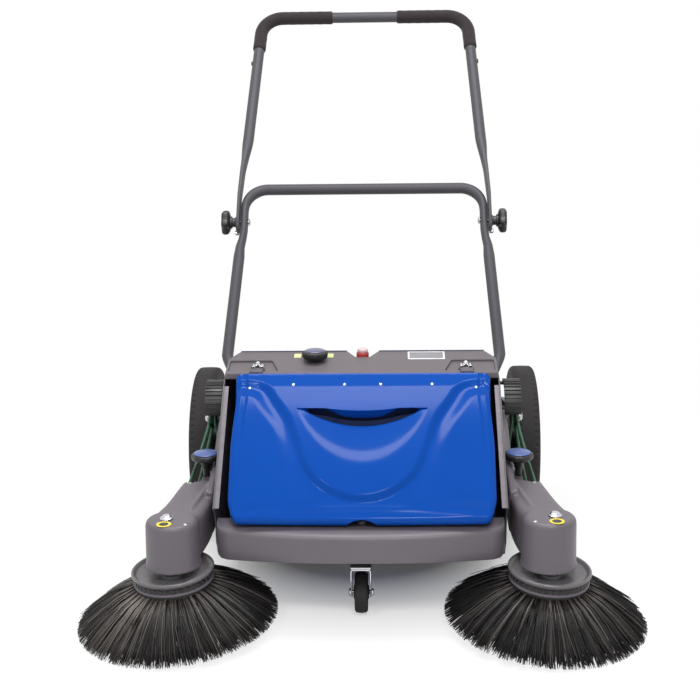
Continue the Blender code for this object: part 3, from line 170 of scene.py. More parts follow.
class Skin:
    """Point grids gathered into one mesh, whose doubles are merged and faces turned outwards when it is built."""

    def __init__(self) -> None:
        """Start with no points."""
        self.points: list[Array] = []
        self.faces: list[list[int]] = []
        self.count = 0

    def grid(self, points: Array, rows: bool = False, columns: bool = True, caps: bool = False) -> "Skin":
        """Add one grid of points, or several at once in leading dimensions, as quads.

        Args:
            points: Array of (..., rows, columns, 3).
            rows: True where the last row joins the first.
            columns: True where the last column joins the first.
            caps: True to close the first and last row with one face each.

        Returns:
            This skin.
        """
        points = np.asarray(points, float)
        index = np.arange(points[..., 0].size).reshape(points.shape[:-1]) + self.count
        self.points.append(points.reshape(-1, 3))
        self.count += index.size
        if caps:
            self.faces += index[..., 0, ::-1].reshape(-1, index.shape[-1]).tolist()
            self.faces += index[..., -1, :].reshape(-1, index.shape[-1]).tolist()
        if rows:
            index = np.concatenate((index, index[..., :1, :]), -2)
        if columns:
            index = np.concatenate((index, index[..., :1]), -1)
        corners = (index[..., :-1, :-1], index[..., :-1, 1:], index[..., 1:, 1:], index[..., 1:, :-1])
        self.faces += np.stack(corners, -1).reshape(-1, 4).tolist()
        return self

    def turn(self, profile: Array, segments: int = 48, centre: tuple = (0, 0, 0), along: Along = Along.Z,
            closed: bool = False, ripple: Callable[[Array, Array], Array] | None = None,
            matrix: Array | None = None) -> "Skin":
        """Carry a profile of (radius r, height h) round an axis: (r cos a, r sin a, h).

        Args:
            profile: Rows of radius and height; an open one starts and ends on the axis.
            segments: Steps round the axis.
            centre: Where the axis passes.
            along: The axis.
            closed: True where the profile is a loop off the axis.
            ripple: Function of angle and height that multiplies the radius.
            matrix: A 3 x 3 turn applied before the move to the centre.

        Returns:
            This skin.
        """
        profile = np.asarray(profile, float)
        angle = np.linspace(0, 2 * math.pi, segments, endpoint=False)[:, None]
        radius, height = profile[None, :, 0], np.broadcast_to(profile[None, :, 1], (segments, len(profile)))
        if ripple:
            radius = radius * ripple(angle, height)
        plain = np.stack((radius * np.cos(angle), radius * np.sin(angle), height), -1)
        points = plain[..., list(along.value)]
        if matrix is not None:
            points = points @ np.asarray(matrix, float).T
        return self.grid(points + centre, rows=True, columns=closed)

    def plate(self, outline: Array, low: float, high: float, along: Along = Along.Z, soft: float = 0.0,
            side: int = 1) -> "Skin":
        """Extrude a closed outline between two planes, with quarter-round edges.

        At an angle a of the edge the outline is inset by soft (1 - sin a) and stands soft (1 - cos a) in from its
        plane.

        Args:
            outline: Rows of the two coordinates across the axis.
            low: First plane.
            high: Second plane.
            along: The axis of the extrusion.
            soft: Radius of the edges.
            side: -1 mirrors the plate in X.

        Returns:
            This skin.
        """
        outline = np.asarray(outline, float)
        turns = np.radians(np.linspace(0, 90, 4)) if soft else np.array([math.pi / 2])
        half = [(soft * (1 - math.sin(a)), soft * (1 - math.cos(a))) for a in turns]
        levels = [(inward, low + up) for inward, up in half] + [(inward, high - up) for inward, up in half[::-1]]
        rings = []
        for inward, height in levels:
            flat = inset(outline, inward) if inward else outline
            rings.append(np.column_stack((flat, np.full(len(flat), height)))[:, list(along.value)])
        return self.grid(mirrored(np.stack(rings), side), caps=True)

    def block(self, low: tuple, high: tuple, soft: float = 0.0006) -> "Skin":
        """A box between two corners with rounded upright and level edges."""
        outline = oblong(low[0], high[0], low[1], high[1])
        return self.plate(softened(outline, soft * 1.7, 3, True), low[2], high[2], soft=soft)

    def tube(self, path: Array, sizes: Array | float, sides: int = 20, level: Array = (0, 0, 1), closed: bool = False,
            squared: Array | float = 1.0) -> "Skin":
        """Carry a section along a path.

        The section is out (|cos a|^p w) + level (|sin a|^p d) with the signs of cos and sin, where out is level x
        tangent: an ellipse at p = 1, and nearly a rectangle at p = 0.3.

        Args:
            path: Points of the path.
            sizes: Half width w and half depth d at each point, or one radius.
            sides: Points of the section.
            level: Direction across the path that the section keeps, one for all points or one each.
            closed: True where the path is a loop.
            squared: Power p, one for all points or one each.

        Returns:
            This skin.
        """
        path = np.asarray(path, float)
        if closed:
            ahead = unit(np.roll(path, -1, 0) - np.roll(path, 1, 0))
        else:
            ahead = unit(np.gradient(path, axis=0))
        level = np.broadcast_to(np.asarray(level, float), path.shape)
        out = unit(np.cross(level, ahead))
        level = np.cross(ahead, out)
        sizes = np.broadcast_to(np.asarray(sizes, float).reshape(-1, 1) if np.ndim(sizes) < 2 else sizes,
            (len(path), 2))
        power = np.broadcast_to(np.asarray(squared, float).reshape(-1, 1), (len(path), 1))
        angle = 2 * math.pi * (np.arange(sides) + 0.5) / sides
        c, s = np.cos(angle)[None], np.sin(angle)[None]
        wide = np.sign(c) * np.abs(c) ** power * sizes[:, :1]
        deep = np.sign(s) * np.abs(s) ** power * sizes[:, 1:]
        rings = path[:, None] + out[:, None] * wide[..., None] + level[:, None] * deep[..., None]
        return self.grid(rings, rows=closed, caps=not closed)

    def build(self, name: str, sharp: float = 38.0, merge: float = 1e-6) -> Piece:
        """Make the object: merge doubles, turn the faces outwards and smooth all but the sharp edges.

        Args:
            name: Name of the object and its mesh.
            sharp: Angle between faces, in degrees, over which an edge stays sharp.
            merge: Distance under which points are merged, or 0 to leave them all.

        Returns:
            The linked object.
        """
        mesh = bpy.data.meshes.new(name)
        mesh.from_pydata(np.concatenate(self.points), [], self.faces)
        work = bmesh.new()
        work.from_mesh(mesh)
        if merge:
            bmesh.ops.remove_doubles(work, verts=work.verts, dist=merge)
            bmesh.ops.dissolve_degenerate(work, edges=work.edges, dist=merge)
        bmesh.ops.recalc_face_normals(work, faces=work.faces)
        work.to_mesh(mesh)
        work.free()
        piece = bpy.data.objects.new(name, mesh)
        bpy.context.scene.collection.objects.link(piece)
        smooth(piece, sharp)
        return piece


def smooth(piece: Piece, sharp: float) -> None:
    """Shade a piece smooth, apart from the edges over an angle in degrees."""
    piece.data.shade_smooth()
    piece.data.set_sharp_from_angle(angle=math.radians(sharp))


def settle(piece: Piece) -> Piece:
    """Bake a piece's modifiers into its mesh."""
    bpy.context.view_layer.update()
    graph = bpy.context.evaluated_depsgraph_get()
    baked = bpy.data.meshes.new_from_object(piece.evaluated_get(graph))
    piece.modifiers.clear()
    piece.data = baked
    return piece


def carve(piece: Piece, shape: Skin, operation: str = "DIFFERENCE") -> Piece:
    """Cut a piece by a shape, or join the shape to it, and bake the result."""
    tool = shape.build(piece.name + "_tool", 0)
    step = piece.modifiers.new("cut", "BOOLEAN")
    step.operation, step.solver, step.object = operation, "EXACT", tool
    settle(piece)
    bpy.data.objects.remove(tool)
    return piece


def flowed(piece: Piece, voxel: float, rounds: int) -> Piece:
    """Melt joined shapes into one skin: a voxel remesh, then rounds of smoothing that leave soft fillets."""
    step = piece.modifiers.new("melt", "REMESH")
    step.mode, step.voxel_size, step.use_smooth_shade = "VOXEL", voxel, True
    ease_out = piece.modifiers.new("relax", "SMOOTH")
    ease_out.factor, ease_out.iterations = 0.5, rounds
    return settle(piece)


def node(tree: bpy.types.NodeTree, kind: str, sockets: dict | None = None, **settings: object) -> bpy.types.Node:
    """Add a shader node.

    Args:
        tree: Where it goes.
        kind: Its type, without the leading ShaderNode.
        sockets: Input name or index, with a value or an output socket to link.
        settings: Its own properties.

    Returns:
        The node.
    """
    made = tree.nodes.new("ShaderNode" + kind)
    for key, value in settings.items():
        setattr(made, key, value)
    for key, value in (sockets or {}).items():
        if isinstance(value, bpy.types.NodeSocket):
            tree.links.new(value, made.inputs[key])
        else:
            made.inputs[key].default_value = value
    return made


def maths(tree: bpy.types.NodeTree, kind: str, a: object, b: object = 0.0) -> bpy.types.NodeSocket:
    """One Math node on two values or sockets; returns its output."""
    return node(tree, "Math", {0: a, 1: b}, operation=kind).outputs[0]


def span(tree: bpy.types.NodeTree, value: object, low: float, high: float, start: object = 0.0,
        stop: object = 1.0) -> bpy.types.NodeSocket:
    """Map a value from low-high to start-stop, clamped; returns the output."""
    return node(tree, "MapRange", {0: value, 1: low, 2: high, 3: start, 4: stop}).outputs[0]


def blended(tree: bpy.types.NodeTree, share: object, a: object, b: object) -> bpy.types.NodeSocket:
    """Mix two colours by a share; returns the colour output."""
    return node(tree, "Mix", {0: share, 6: a, 7: b}, data_type="RGBA").outputs[2]


def noise(tree: bpy.types.NodeTree, place: object, scale: object, detail: float = 2.0) -> bpy.types.NodeSocket:
    """A noise of a scale at a place; returns its value output."""
    return node(tree, "TexNoise", {"Vector": place, "Scale": scale, "Detail": detail}).outputs[0]


def group_with(name: str, takes: dict, gives: dict) -> tuple[bpy.types.NodeTree, dict, bpy.types.Node]:
    """Start a shader node group.

    Args:
        name: The group's name.
        takes: Input names with their socket kinds.
        gives: Output names with their socket kinds.

    Returns:
        The tree, its input sockets by name and its output node.
    """
    tree = bpy.data.node_groups.new(name, "ShaderNodeTree")
    for sockets, way in ((takes, "INPUT"), (gives, "OUTPUT")):
        for key, kind in sockets.items():
            tree.interface.new_socket(key, in_out=way, socket_type="NodeSocket" + kind)
    entry = tree.nodes.new("NodeGroupInput")
    return tree, {key: entry.outputs[key] for key in takes}, tree.nodes.new("NodeGroupOutput")


def used_surface() -> bpy.types.NodeTree:
    """Group shared by the finishes: tone, grain, rubbed edges and settled dust.

    A broad noise moves the tone by the mottle. Rubbed edges are where the pointiness of the mesh is high, broken by
    a patchy noise. Dust is that noise on faces that look up. The height is a fine noise with some of the patchy one.

    Returns:
        The group.
    """
    found = bpy.data.node_groups.get("used_surface")
    if found:
        return found
    takes = {"Colour": "Color", "Grime": "Color", "Mottle": "Float", "Dust": "Float", "Wear": "Float",
        "Roughness": "Float", "Spread": "Float", "Grain": "Float"}
    tree, get, out = group_with("used_surface", takes, {"Colour": "Color", "Roughness": "Float", "Height": "Float"})
    place = node(tree, "TexCoord").outputs["Object"]
    broad, patch = noise(tree, place, 11.0, 3.0), noise(tree, place, 62.0, 4.0)
    fine = noise(tree, place, get["Grain"], 3.0)
    swing = maths(tree, "MULTIPLY", span(tree, broad, 0.3, 0.7, -1.0, 1.0), get["Mottle"])
    tone = maths(tree, "ADD", swing, 1.0)
    toned = node(tree, "HueSaturation", {"Value": tone, "Color": get["Colour"]}).outputs[0]
    geometry = node(tree, "NewGeometry")
    rim = maths(tree, "MULTIPLY", span(tree, geometry.outputs["Pointiness"], 0.53, 0.62),
        span(tree, patch, 0.4, 0.62))
    rim = maths(tree, "MULTIPLY", rim, get["Wear"])
    bare = node(tree, "HueSaturation", {"Value": 1.8, "Saturation": 0.75, "Color": toned}).outputs[0]
    up = node(tree, "SeparateXYZ", {0: geometry.outputs["Normal"]}).outputs[2]
    dust = maths(tree, "MULTIPLY", span(tree, up, 0.1, 1.0), span(tree, patch, 0.38, 0.72))
    dust = maths(tree, "MULTIPLY", dust, get["Dust"])
    colour = blended(tree, dust, blended(tree, rim, toned, bare), get["Grime"])
    rough = maths(tree, "ADD", get["Roughness"], maths(tree, "MULTIPLY", span(tree, broad, 0.3, 0.7, -0.5, 0.5),
        get["Spread"]))
    rough = maths(tree, "ADD", rough, maths(tree, "MULTIPLY", dust, 0.6))
    tree.links.new(colour, out.inputs["Colour"])
    tree.links.new(rough, out.inputs["Roughness"])
    tree.links.new(maths(tree, "ADD", fine, maths(tree, "MULTIPLY", patch, 0.35)), out.inputs["Height"])
    return tree


@dataclass(frozen=True)
class Finish:
    """One finish: its colour in linear light and how it takes dust, wear and grain."""

    name: str
    slot: str
    colour: tuple[float, float, float]
    roughness: float
    metallic: float = 0.0
    coat: float = 0.0
    mottle: float = 0.05
    dust: float = 0.1
    wear: float = 0.25
    spread: float = 0.1
    grain: float = 900.0
    bump: float = 0.00003
    sheen: float = 0.0
    specular: float = 0.5
    grime: tuple[float, float, float] = (0.22, 0.2, 0.19)

    def tinted(self, tree: bpy.types.NodeTree) -> object:
        """The colour that goes into the wear group."""
        return (*self.colour, 1.0)

    def height(self, tree: bpy.types.NodeTree, plain: bpy.types.NodeSocket) -> bpy.types.NodeSocket:
        """The height that goes into the bump, made from the group's own."""
        return plain

    def material(self) -> bpy.types.Material:
        """The material of this finish, made on first use."""
        found = bpy.data.materials.get(self.name)
        if found:
            return found
        made = bpy.data.materials.new(self.name)
        made.use_nodes = True
        tree = made.node_tree
        tree.nodes.clear()
        shader = node(tree, "BsdfPrincipled", {"Metallic": self.metallic, "Coat Weight": self.coat,
            "Coat Roughness": 0.12, "Sheen Weight": self.sheen, "Sheen Roughness": 0.4,
            "Specular IOR Level": self.specular})
        used = node(tree, "Group", node_tree=used_surface())
        values = {"Grime": (*self.grime, 1.0), "Mottle": self.mottle, "Dust": self.dust, "Wear": self.wear,
            "Roughness": self.roughness, "Spread": self.spread, "Grain": self.grain}
        for key, value in values.items():
            used.inputs[key].default_value = value
        tint = self.tinted(tree)
        if isinstance(tint, tuple):
            used.inputs["Colour"].default_value = tint
        else:
            tree.links.new(tint, used.inputs["Colour"])
        raised = self.height(tree, used.outputs["Height"])
        bump = node(tree, "Bump", {"Height": raised, "Distance": self.bump, "Strength": 1.0})
        for key, socket in (("Base Color", used.outputs["Colour"]), ("Roughness", used.outputs["Roughness"]),
                ("Normal", bump.outputs["Normal"])):
            tree.links.new(socket, shader.inputs[key])
        output = tree.nodes.new("ShaderNodeOutputMaterial")
        tree.links.new(shader.outputs[0], output.inputs["Surface"])
        made.diffuse_color = (*self.colour, 1.0)
        return made

    def on(self, piece: Piece) -> Piece:
        """Give a piece this finish alone."""
        if piece.data.materials:
            for k in range(len(piece.data.materials)):
                piece.data.materials[k] = self.material()
        else:
            piece.data.materials.append(self.material())
        return piece


@dataclass(frozen=True)
class StrandFinish(Finish):
    """Bristle fibre: each strand has its own tone, partly random and on the side brooms partly painted sheen, and
    strands with a high tone are paler, most towards the root.
    """

    # Pale colour of high-tone strands, which also shows the side brooms' painted sheen.
    pale: tuple[float, float, float] = (0.28, 0.245, 0.225)

    def tinted(self, tree: bpy.types.NodeTree) -> object:
        """Blend from the base colour to the pale one by the strand's tone, which holds any painted sheen, and its
        place along the strand.
        """
        tone = node(tree, "Attribute", attribute_name="tone").outputs["Fac"]
        along = node(tree, "Attribute", attribute_name="along").outputs["Fac"]
        share = maths(tree, "MULTIPLY", span(tree, tone, 0.35, 1.0), span(tree, along, 0.0, 1.0, 1.0, 0.5))
        return blended(tree, share, (*self.colour, 1.0), (*self.pale, 1.0))


@dataclass(frozen=True)
class BrushedFinish(Finish):
    """Plated steel with fine drawn lines across the piece."""

    stretch: tuple[float, float, float] = (40.0, 900.0, 900.0)

    def height(self, tree: bpy.types.NodeTree, plain: bpy.types.NodeSocket) -> bpy.types.NodeSocket:
        """Add a noise stretched along one axis to the plain height."""
        place = node(tree, "TexCoord").outputs["Object"]
        drawn = node(tree, "Mapping", {"Vector": place, "Scale": self.stretch}).outputs[0]
        return maths(tree, "ADD", plain, noise(tree, drawn, 1.0, 2.0))


class Looks:
    """The finishes of the sweeper."""

    HOPPER = Finish("hopper_blue_gloss", "hopper_blue", (0.001, 0.054, 0.315), 0.22, coat=0.14, mottle=0.02, dust=0.0,
        wear=0.05, spread=0.05, grain=170.0, specular=0.03)
    BODY = Finish("body_grey_moulded", "body_grey", (0.108, 0.094, 0.11), 0.42, mottle=0.04, dust=0.06, grain=1500.0,
        bump=0.00004)
    SHEET = Finish("body_grey_sheet", "sheet_grey", (0.075, 0.068, 0.078), 0.45, mottle=0.015, dust=0.02, wear=0.2,
        spread=0.03, grain=700.0)
    # Near-black painted shade for the crossmember, so that the plate under the bumper reads as shadow.
    PAINTED_SHADE = Finish("crossmember_painted_shade", "sheet_grey", (0.018, 0.017, 0.019), 0.55, mottle=0.06, dust=0.08,
        wear=0.3, grain=700.0)
    # Dark blue for the cover's rear trim, and painted shade for the hopper's hand slot.
    TRIM_AND_SLOT_SHADE = Finish("cover_trim_and_slot_painted_shade", "black_plastic", (0.006, 0.014, 0.06), 0.45, mottle=0.04, dust=0.04,
        bump=0.00002)
    COVER = Finish("cover_grey_moulded", "cover_grey", (0.122, 0.108, 0.118), 0.5, mottle=0.03, dust=0.08,
        grain=1500.0, bump=0.00004, specular=0.3)
    FLANGE = Finish("flange_grey_moulded", "body_grey", (0.115, 0.107, 0.114), 0.26, mottle=0.04, dust=0.06,
        grain=1100.0)
    TUBE = Finish("tube_grey_enamel", "tube_grey", (0.066, 0.063, 0.071), 0.4, mottle=0.04, dust=0.04, wear=0.35,
        grain=420.0, specular=0.16)
    FOAM = Finish("grip_foam", "foam_black", (0.024, 0.018, 0.02), 0.93, mottle=0.1, dust=0.06, wear=0.2, grain=620.0,
        bump=0.0004, sheen=0.15, specular=0.3)
    TYRE = Finish("tyre_rubber", "tyre_black", (0.016, 0.014, 0.014), 0.72, mottle=0.1, dust=0.08, grain=520.0,
        bump=0.00015, specular=0.35, grime=(0.12, 0.11, 0.1))
    BLACK = Finish("black_moulded", "black_plastic", (0.01, 0.01, 0.011), 0.38, mottle=0.08, dust=0.08, wear=0.3,
        grain=1100.0, bump=0.00005)
    BRISTLE = StrandFinish("bristle_fibre", "bristle_black", (0.005, 0.004, 0.004), 0.42, mottle=0.1, dust=0.0,
        wear=0.0, bump=0.00002, specular=0.4)
    CAP = Finish("cap_blue_gloss", "cap_blue", (0.06, 0.105, 0.3), 0.28, coat=0.15, mottle=0.04, dust=0.04,
        grain=300.0, bump=0.00004)
    DOME = Finish("knob_dome_grey", "black_plastic", (0.085, 0.085, 0.16), 0.3, coat=0.15, mottle=0.04, grain=500.0)
    STEEL = BrushedFinish("zinc_plated_steel", "steel", (0.5, 0.5, 0.52), 0.3, metallic=1.0, dust=0.06, wear=0.2,
        grain=700.0, bump=0.00001)
    CHROME = Finish("bright_plated_steel", "steel", (0.66, 0.66, 0.69), 0.16, metallic=1.0, mottle=0.03, dust=0.04,
        wear=0.1, grain=300.0, bump=0.00001)
    BELT = Finish("belt_green_polymer", "belt_green", (0.015, 0.085, 0.04), 0.42, mottle=0.1, dust=0.08, grain=1600.0,
        bump=0.00004)
    RED = Finish("latch_red_moulded", "latch_red", (0.42, 0.035, 0.035), 0.38, dust=0.06)
    PINK = Finish("latch_cap_pale", "latch_red", (0.62, 0.45, 0.46), 0.35, mottle=0.04, dust=0.06)
    RUBBER = Finish("black_rubber", "rubber_black", (0.014, 0.013, 0.013), 0.8, mottle=0.12, dust=0.15, grain=500.0,
        bump=0.00015)
    YELLOW = Finish("ring_yellow_print", "cap_blue", (0.76, 0.6, 0.03), 0.35, mottle=0.04, dust=0.04, bump=0.00001)
    PALE = Finish("mark_pale_print", "cover_grey", (0.55, 0.57, 0.25), 0.4, dust=0.06, bump=0.00001)
    PLATE = BrushedFinish("bare_plate_grey", "steel", (0.2, 0.2, 0.215), 0.38, mottle=0.04, dust=0.06, bump=0.00001)
    PLATE_RIM = Finish("bare_plate_rim", "steel", (0.78, 0.78, 0.79), 0.4, mottle=0.03, dust=0.06, bump=0.00001)


class SubAssembly:
    """What every sub-assembly shares: placing a new piece, and dressing a CAD node that stays."""

    def place(self, piece: Piece, look: Finish, body: str, *nodes: str) -> Piece:
        """Give a piece its finish, the body it rides on and the CAD nodes it stands for."""
        look.on(piece)
        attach(piece, body)
        if nodes:
            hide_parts(*nodes)
        log.info("%s rides on %s, %d faces", piece.name, body, len(piece.data.polygons))
        return piece

    def dress(self, look: Finish, *nodes: str) -> None:
        """Give CAD nodes that stay in view a finish."""
        for name in nodes:
            look.on(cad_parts[name])
            log.info("%s keeps its CAD mesh", name)


@dataclass
class Hopper(SubAssembly):
    """The tilting debris hopper: a moulded sloping face over an open-backed tray, its rubber lip and rivets."""

    lip_y: float = -0.401
    lip_z: float = 0.194
    lip_radius: float = 0.012
    top_y: float = -0.179
    top_z: float = 0.379
    half_low: float = 0.2262
    shift: float = 0.003
    toe_in: float = 0.01
    pocket_half: float = 0.102
    pocket_drop: float = 0.085
    pocket_depth: float = 0.012
    crown: float = 0.005
    flap_half: float = 0.065
    flap_drop: float = 0.02
    bow: float = 0.006
    wall: float = 0.0035
    corner: float = 0.0115
    rise: float = 0.008
    recess_depth: float = 0.0215
    recess_half: float = 0.113
    recess_top: float = 0.72
    recess_low: float = 0.29
    panel_top: float = 0.92
    back: float = -0.164
    heart: tuple = (0.0, -0.3, 0.2)

    @property
    def slope(self) -> Array:
        """Vector from the lip to the top of the face, in the YZ plane."""
        return np.array([self.top_y - self.lip_y, self.top_z - self.lip_z])

    @property
    def normal(self) -> Array:
        """Outward normal of the face, in the YZ plane."""
        along = unit(self.slope)
        return np.array([-along[1], along[0]])

    def shield(self) -> Array:
        """Border of the raised centre panel as (half width, height v), from the foot to the top."""
        border = [(-0.006, 0.088), (0.02, 0.094), (0.049, 0.128), (0.079, 0.2), (0.099, 0.29), (0.108, 0.37),
            (0.113, 0.43), (0.122, 0.53), (0.133, 0.64), (0.145, 0.71), (0.158, 0.78), (0.167, 0.84), (0.179, 0.89),
            (0.202, 0.915), (0.24, 0.925)]
        line = softened(border, 0.05, 8)
        run = np.concatenate(([0], np.cumsum(np.linalg.norm(np.diff(line, axis=0), axis=1))))
        even = np.linspace(0, run[-1], 500)
        return np.column_stack([np.interp(even, run, line[:, k]) for k in (0, 1)])

    def half_at(self, v: Array) -> Array:
        """Half width at a height v: a bell that is waisted near v = 0.82, drawn in by toe_in at the lip's corners."""
        bell = softened([(0, 0), (0.12, 0.0012), (0.3, 0.002), (0.5, 0.0022), (0.66, 0.0), (0.82, -0.003),
            (0.94, -0.0014), (1, 0.001)], 0.05, 5)
        return self.half_low + np.interp(v, bell[:, 0], bell[:, 1]) - self.toe_in * (1 - ease(v, -0.1, 0.1))

    def flap(self, x: Array, v: Array) -> Array:
        """Heights v warped so that the row of the recess's top edge dips by flap_drop (1 - (x / flap_half)^2)."""
        dip = self.flap_drop * np.clip(1 - (x / self.flap_half) ** 2, 0, 1)
        return v - dip * ease(v, self.recess_top - 0.22, self.recess_top) * (1 - ease(v, self.recess_top, 0.88))

    def relief(self, x: Array, v: Array) -> Array:
        """Height of the face over its plain slope, at a distance x from the middle and a height v from 0 to 1.

        It uses the signed distance d to the shield's border: the shield rises over 6 mm inside it, and outside lies a
        groove before the side panels, which fade towards the lip. The hand recess is cut below a straight top edge
        and fades out along a smile-shaped lower border. A low bead follows the lip.

        Args:
            x: Distances across, in metres.
            v: Heights along the face, where 1 is its top edge.

        Returns:
            Heights along the face's normal.
        """
        x = np.abs(x)
        length = float(np.linalg.norm(self.slope))
        border = self.shield()
        away = np.full(np.broadcast(x, v).shape, np.inf)
        for point in np.array_split(border * (1, length), 20):
            gap = np.stack(np.broadcast_arrays(x, v * length), -1)[..., None, :] - point
            away = np.minimum(away, np.sqrt((gap ** 2).sum(-1)).min(-1))
        d = np.where(x < np.interp(v, border[:, 1], border[:, 0], left=-1.0), away, -away)
        side_level = 0.0016 + 0.0038 * ease(v, 0.25, 0.8)
        groove = 0.0045 + 0.011 * (1 - ease(v, 0.08, 0.36))
        outside = side_level * ease(-d - groove, 0.0, 0.026)
        height = np.maximum(self.rise * ease(d, -0.003, 0.0125), outside) * ease(v, 0.02, 0.11)
        height = height * (1 - 0.78 * ease(v, self.panel_top - 0.05, 1.0))
        height = height + self.crown * (1 - (2 * np.clip(v, 0, 1) - 1) ** 2) - self.crown * 0.4
        edge = self.half_at(v) - 0.0155
        height = height - 0.0022 * np.exp(-((x - edge) / 0.0035) ** 2) * ease(v, 0.3, 0.7)
        ridge = 0.052 * (1 - (x / 0.2) ** 2)
        height = height + 0.0009 * np.exp(-((v - ridge) / 0.02) ** 2) * (1 - ease(x, 0.18, 0.2))
        across = np.clip(1 - (x / self.recess_half) ** 2, 0.0, 1.0)
        reach = (self.recess_top - self.recess_low) * across ** 0.75
        top = self.flap(x, np.full_like(x, self.recess_top))
        share = (v - self.recess_top + reach) / np.maximum(reach, 1e-6)
        depth = self.recess_depth * across ** 1.2 * ease(share) ** 1.15
        depth = depth + self.pocket_depth * ease(v, self.pocket_foot(x) - 0.01, self.pocket_foot(x) + 0.014)
        return height - np.where((v < top) & (across > 0), depth, 0.0)

    def pocket_foot(self, x: Array) -> Array:
        """Height v of the crescent-shaped hand slot's lower edge at a distance x."""
        return self.recess_top - self.pocket_drop * np.clip(1 - (x / self.pocket_half) ** 2, 0, 1) ** 0.9

    def slot_painted_shade(self) -> Piece:
        """Painted shade in the hand slot: a thin dark crescent skin that stands in for the shadow of the opening under
        the flap, following the slot's floor 0.5 mm above it.
        """
        x = np.linspace(-0.97, 0.97, 90)[:, None] * self.pocket_half
        x = np.broadcast_to(x, (90, 16))
        low = self.pocket_foot(x) + 0.01
        high = self.flap(x, np.full_like(x, self.recess_top)) - 0.0012
        v = low + (np.maximum(high, low + 0.001) - low) * np.linspace(0, 1, 16)
        climb = np.linspace(0, 1, 7)[1:] * (0.3 + 0.62 * ease(np.abs(x[:, :1]), 0.03, 0.066))
        floor = self.relief(x, v)
        edge = self.relief(x[:, :1], high[:, :1] + 0.004) - floor[:, -1:]
        x, v = (np.hstack((a, np.repeat(a[:, -1:], 6, 1))) for a in (x, v))
        floor = np.hstack((floor, floor[:, -1:] + climb * edge))
        layers = []
        for lift in (0.0005, 0.0002):
            reach = floor + self.lip_radius + lift
            points = np.array([self.lip_y, self.lip_z]) + v[..., None] * self.slope + reach[..., None] * self.normal
            bowed = self.bow * (x / self.half_low) ** 2 * (1 - v)
            layers.append(np.stack((x + self.shift, points[..., 0] + bowed, points[..., 1]), -1))
        return Skin().grid(np.concatenate((layers[0], layers[1][:, ::-1]), 1), caps=True).build("hopper_slot_painted_shade",
            60)

    def hollow(self, x: Array, v: Array) -> Array:
        """Height of the inner skin: one broad hollow that keeps behind the hand recess."""
        across = 1 - ease(np.abs(x), 0.115, 0.16)
        along = ease(v, 0.16, 0.4) * (1 - ease(v, 0.75, 0.86))
        deep = ease(v, 0.44, 0.56) * (1 - ease(v, 0.76, 0.83)) * (1 - ease(np.abs(x), 0.112, 0.14))
        return -(self.recess_depth + 0.004) * across * along - (self.pocket_depth + 0.001) * deep

    def shell(self, wall: float, columns: int, rows: int) -> Skin:
        """The closed skin of the hopper, moved inwards by a wall.

        One section in the YZ plane is carried across X. Its face points are the lip-to-top line plus the normal times
        (lip radius - wall + relief); its rear is a rounded outline; its nose is an arc about the lip. Points bow back
        by bow (x / half)^2 near the lip. Each end is rounded by sections drawn towards their middle by
        corner (1 - cos a) while x grows by corner sin a, and closed by shrinking the last one to a point.

        Args:
            wall: Thickness taken off, 0 for the outer skin.
            columns: Steps across.
            rows: Steps along the face.

        Returns:
            The skin.
        """
        marks = np.array([self.recess_top - 0.0006, self.recess_top + 0.0006])
        v = np.unique(np.concatenate((np.linspace(0, 1, rows), marks)))
        if wall:
            rear = [(-0.179, 0.371), (-0.166, 0.333), (-0.162, 0.228), (-0.14, 0.225), (-0.14, 0.06), (-0.17, 0.06),
                (-0.274, 0.1135), (-0.344, 0.1165), (-0.347, 0.1857), (-0.393, 0.186)]
            nose = np.empty((0, 2))
        else:
            rear = [(-0.1745, 0.3795), (-0.1745, 0.366), (-0.162, 0.33), (-0.157, 0.2245), (self.back, 0.12),
                (self.back, 0.053), (-0.17, 0.053), (-0.275, 0.1085), (-0.348, 0.1115), (-0.351, 0.182)]
            nose = arc((0, 0), 1.0, -90, -226, 18)
        rear = softened([*rear[:1], *rear, *rear[-1:]], 0.005, 4)[1:-1]
        face = np.array([self.lip_y, self.lip_z]) + v[:, None] * self.slope
        base = np.vstack((face, rear, np.tile((self.lip_y, self.lip_z), (len(nose), 1))))
        out = np.vstack((np.tile(self.normal, (len(face), 1)), np.zeros_like(rear), nose))
        height = np.concatenate((v, np.full(len(rear), 0.5), np.linspace(-0.1, -0.002, len(nose))))
        half = self.half_at(height) - wall
        half[len(v):len(v) + len(rear)] = self.half_low - wall - self.toe_in * ease(-rear[:, 0], 0.35, 0.39)
        bowed = np.concatenate((1 - v, np.zeros(len(rear)), np.ones(len(nose))))
        radius = self.corner - wall
        share = np.linspace(-1, 1, columns)[:, None]
        x = share * (half - radius)
        level = np.broadcast_to(height, x.shape).copy()
        if not wall:
            level[:, :len(v)] = self.flap(x[:, :len(v)], level[:, :len(v)])
        raised = (self.hollow if wall else self.relief)(x, level)
        raised[:, len(v):len(v) + len(rear)] = 0
        reach = np.where(np.any(out, axis=1), self.lip_radius - wall, 0.0) + raised
        flat = base + out * reach[..., None] + (level - height)[..., None] * self.slope
        flat[..., 0] += self.bow * share ** 2 * bowed
        rings = np.concatenate((x[..., None] + self.shift, flat), -1)
        ends = []
        for last, sign in ((rings[0], -1), (rings[-1], 1)):
            inward = unit((self.heart - last) * (0, 1, 1))
            steps = [last + inward * radius * (1 - math.cos(a)) + (sign * radius * math.sin(a), 0,
                0) for a in np.radians((22, 45, 68, 90))]
            centre = self.heart + np.array([sign * (self.half_low - wall) + self.shift, 0, 0])
            steps += [steps[-1] + (centre - steps[-1]) * f for f in (0.3, 0.65, 1.0)]
            ends.append(np.stack(steps[::sign]))
        return Skin().grid(np.concatenate((ends[0], rings, ends[1])))

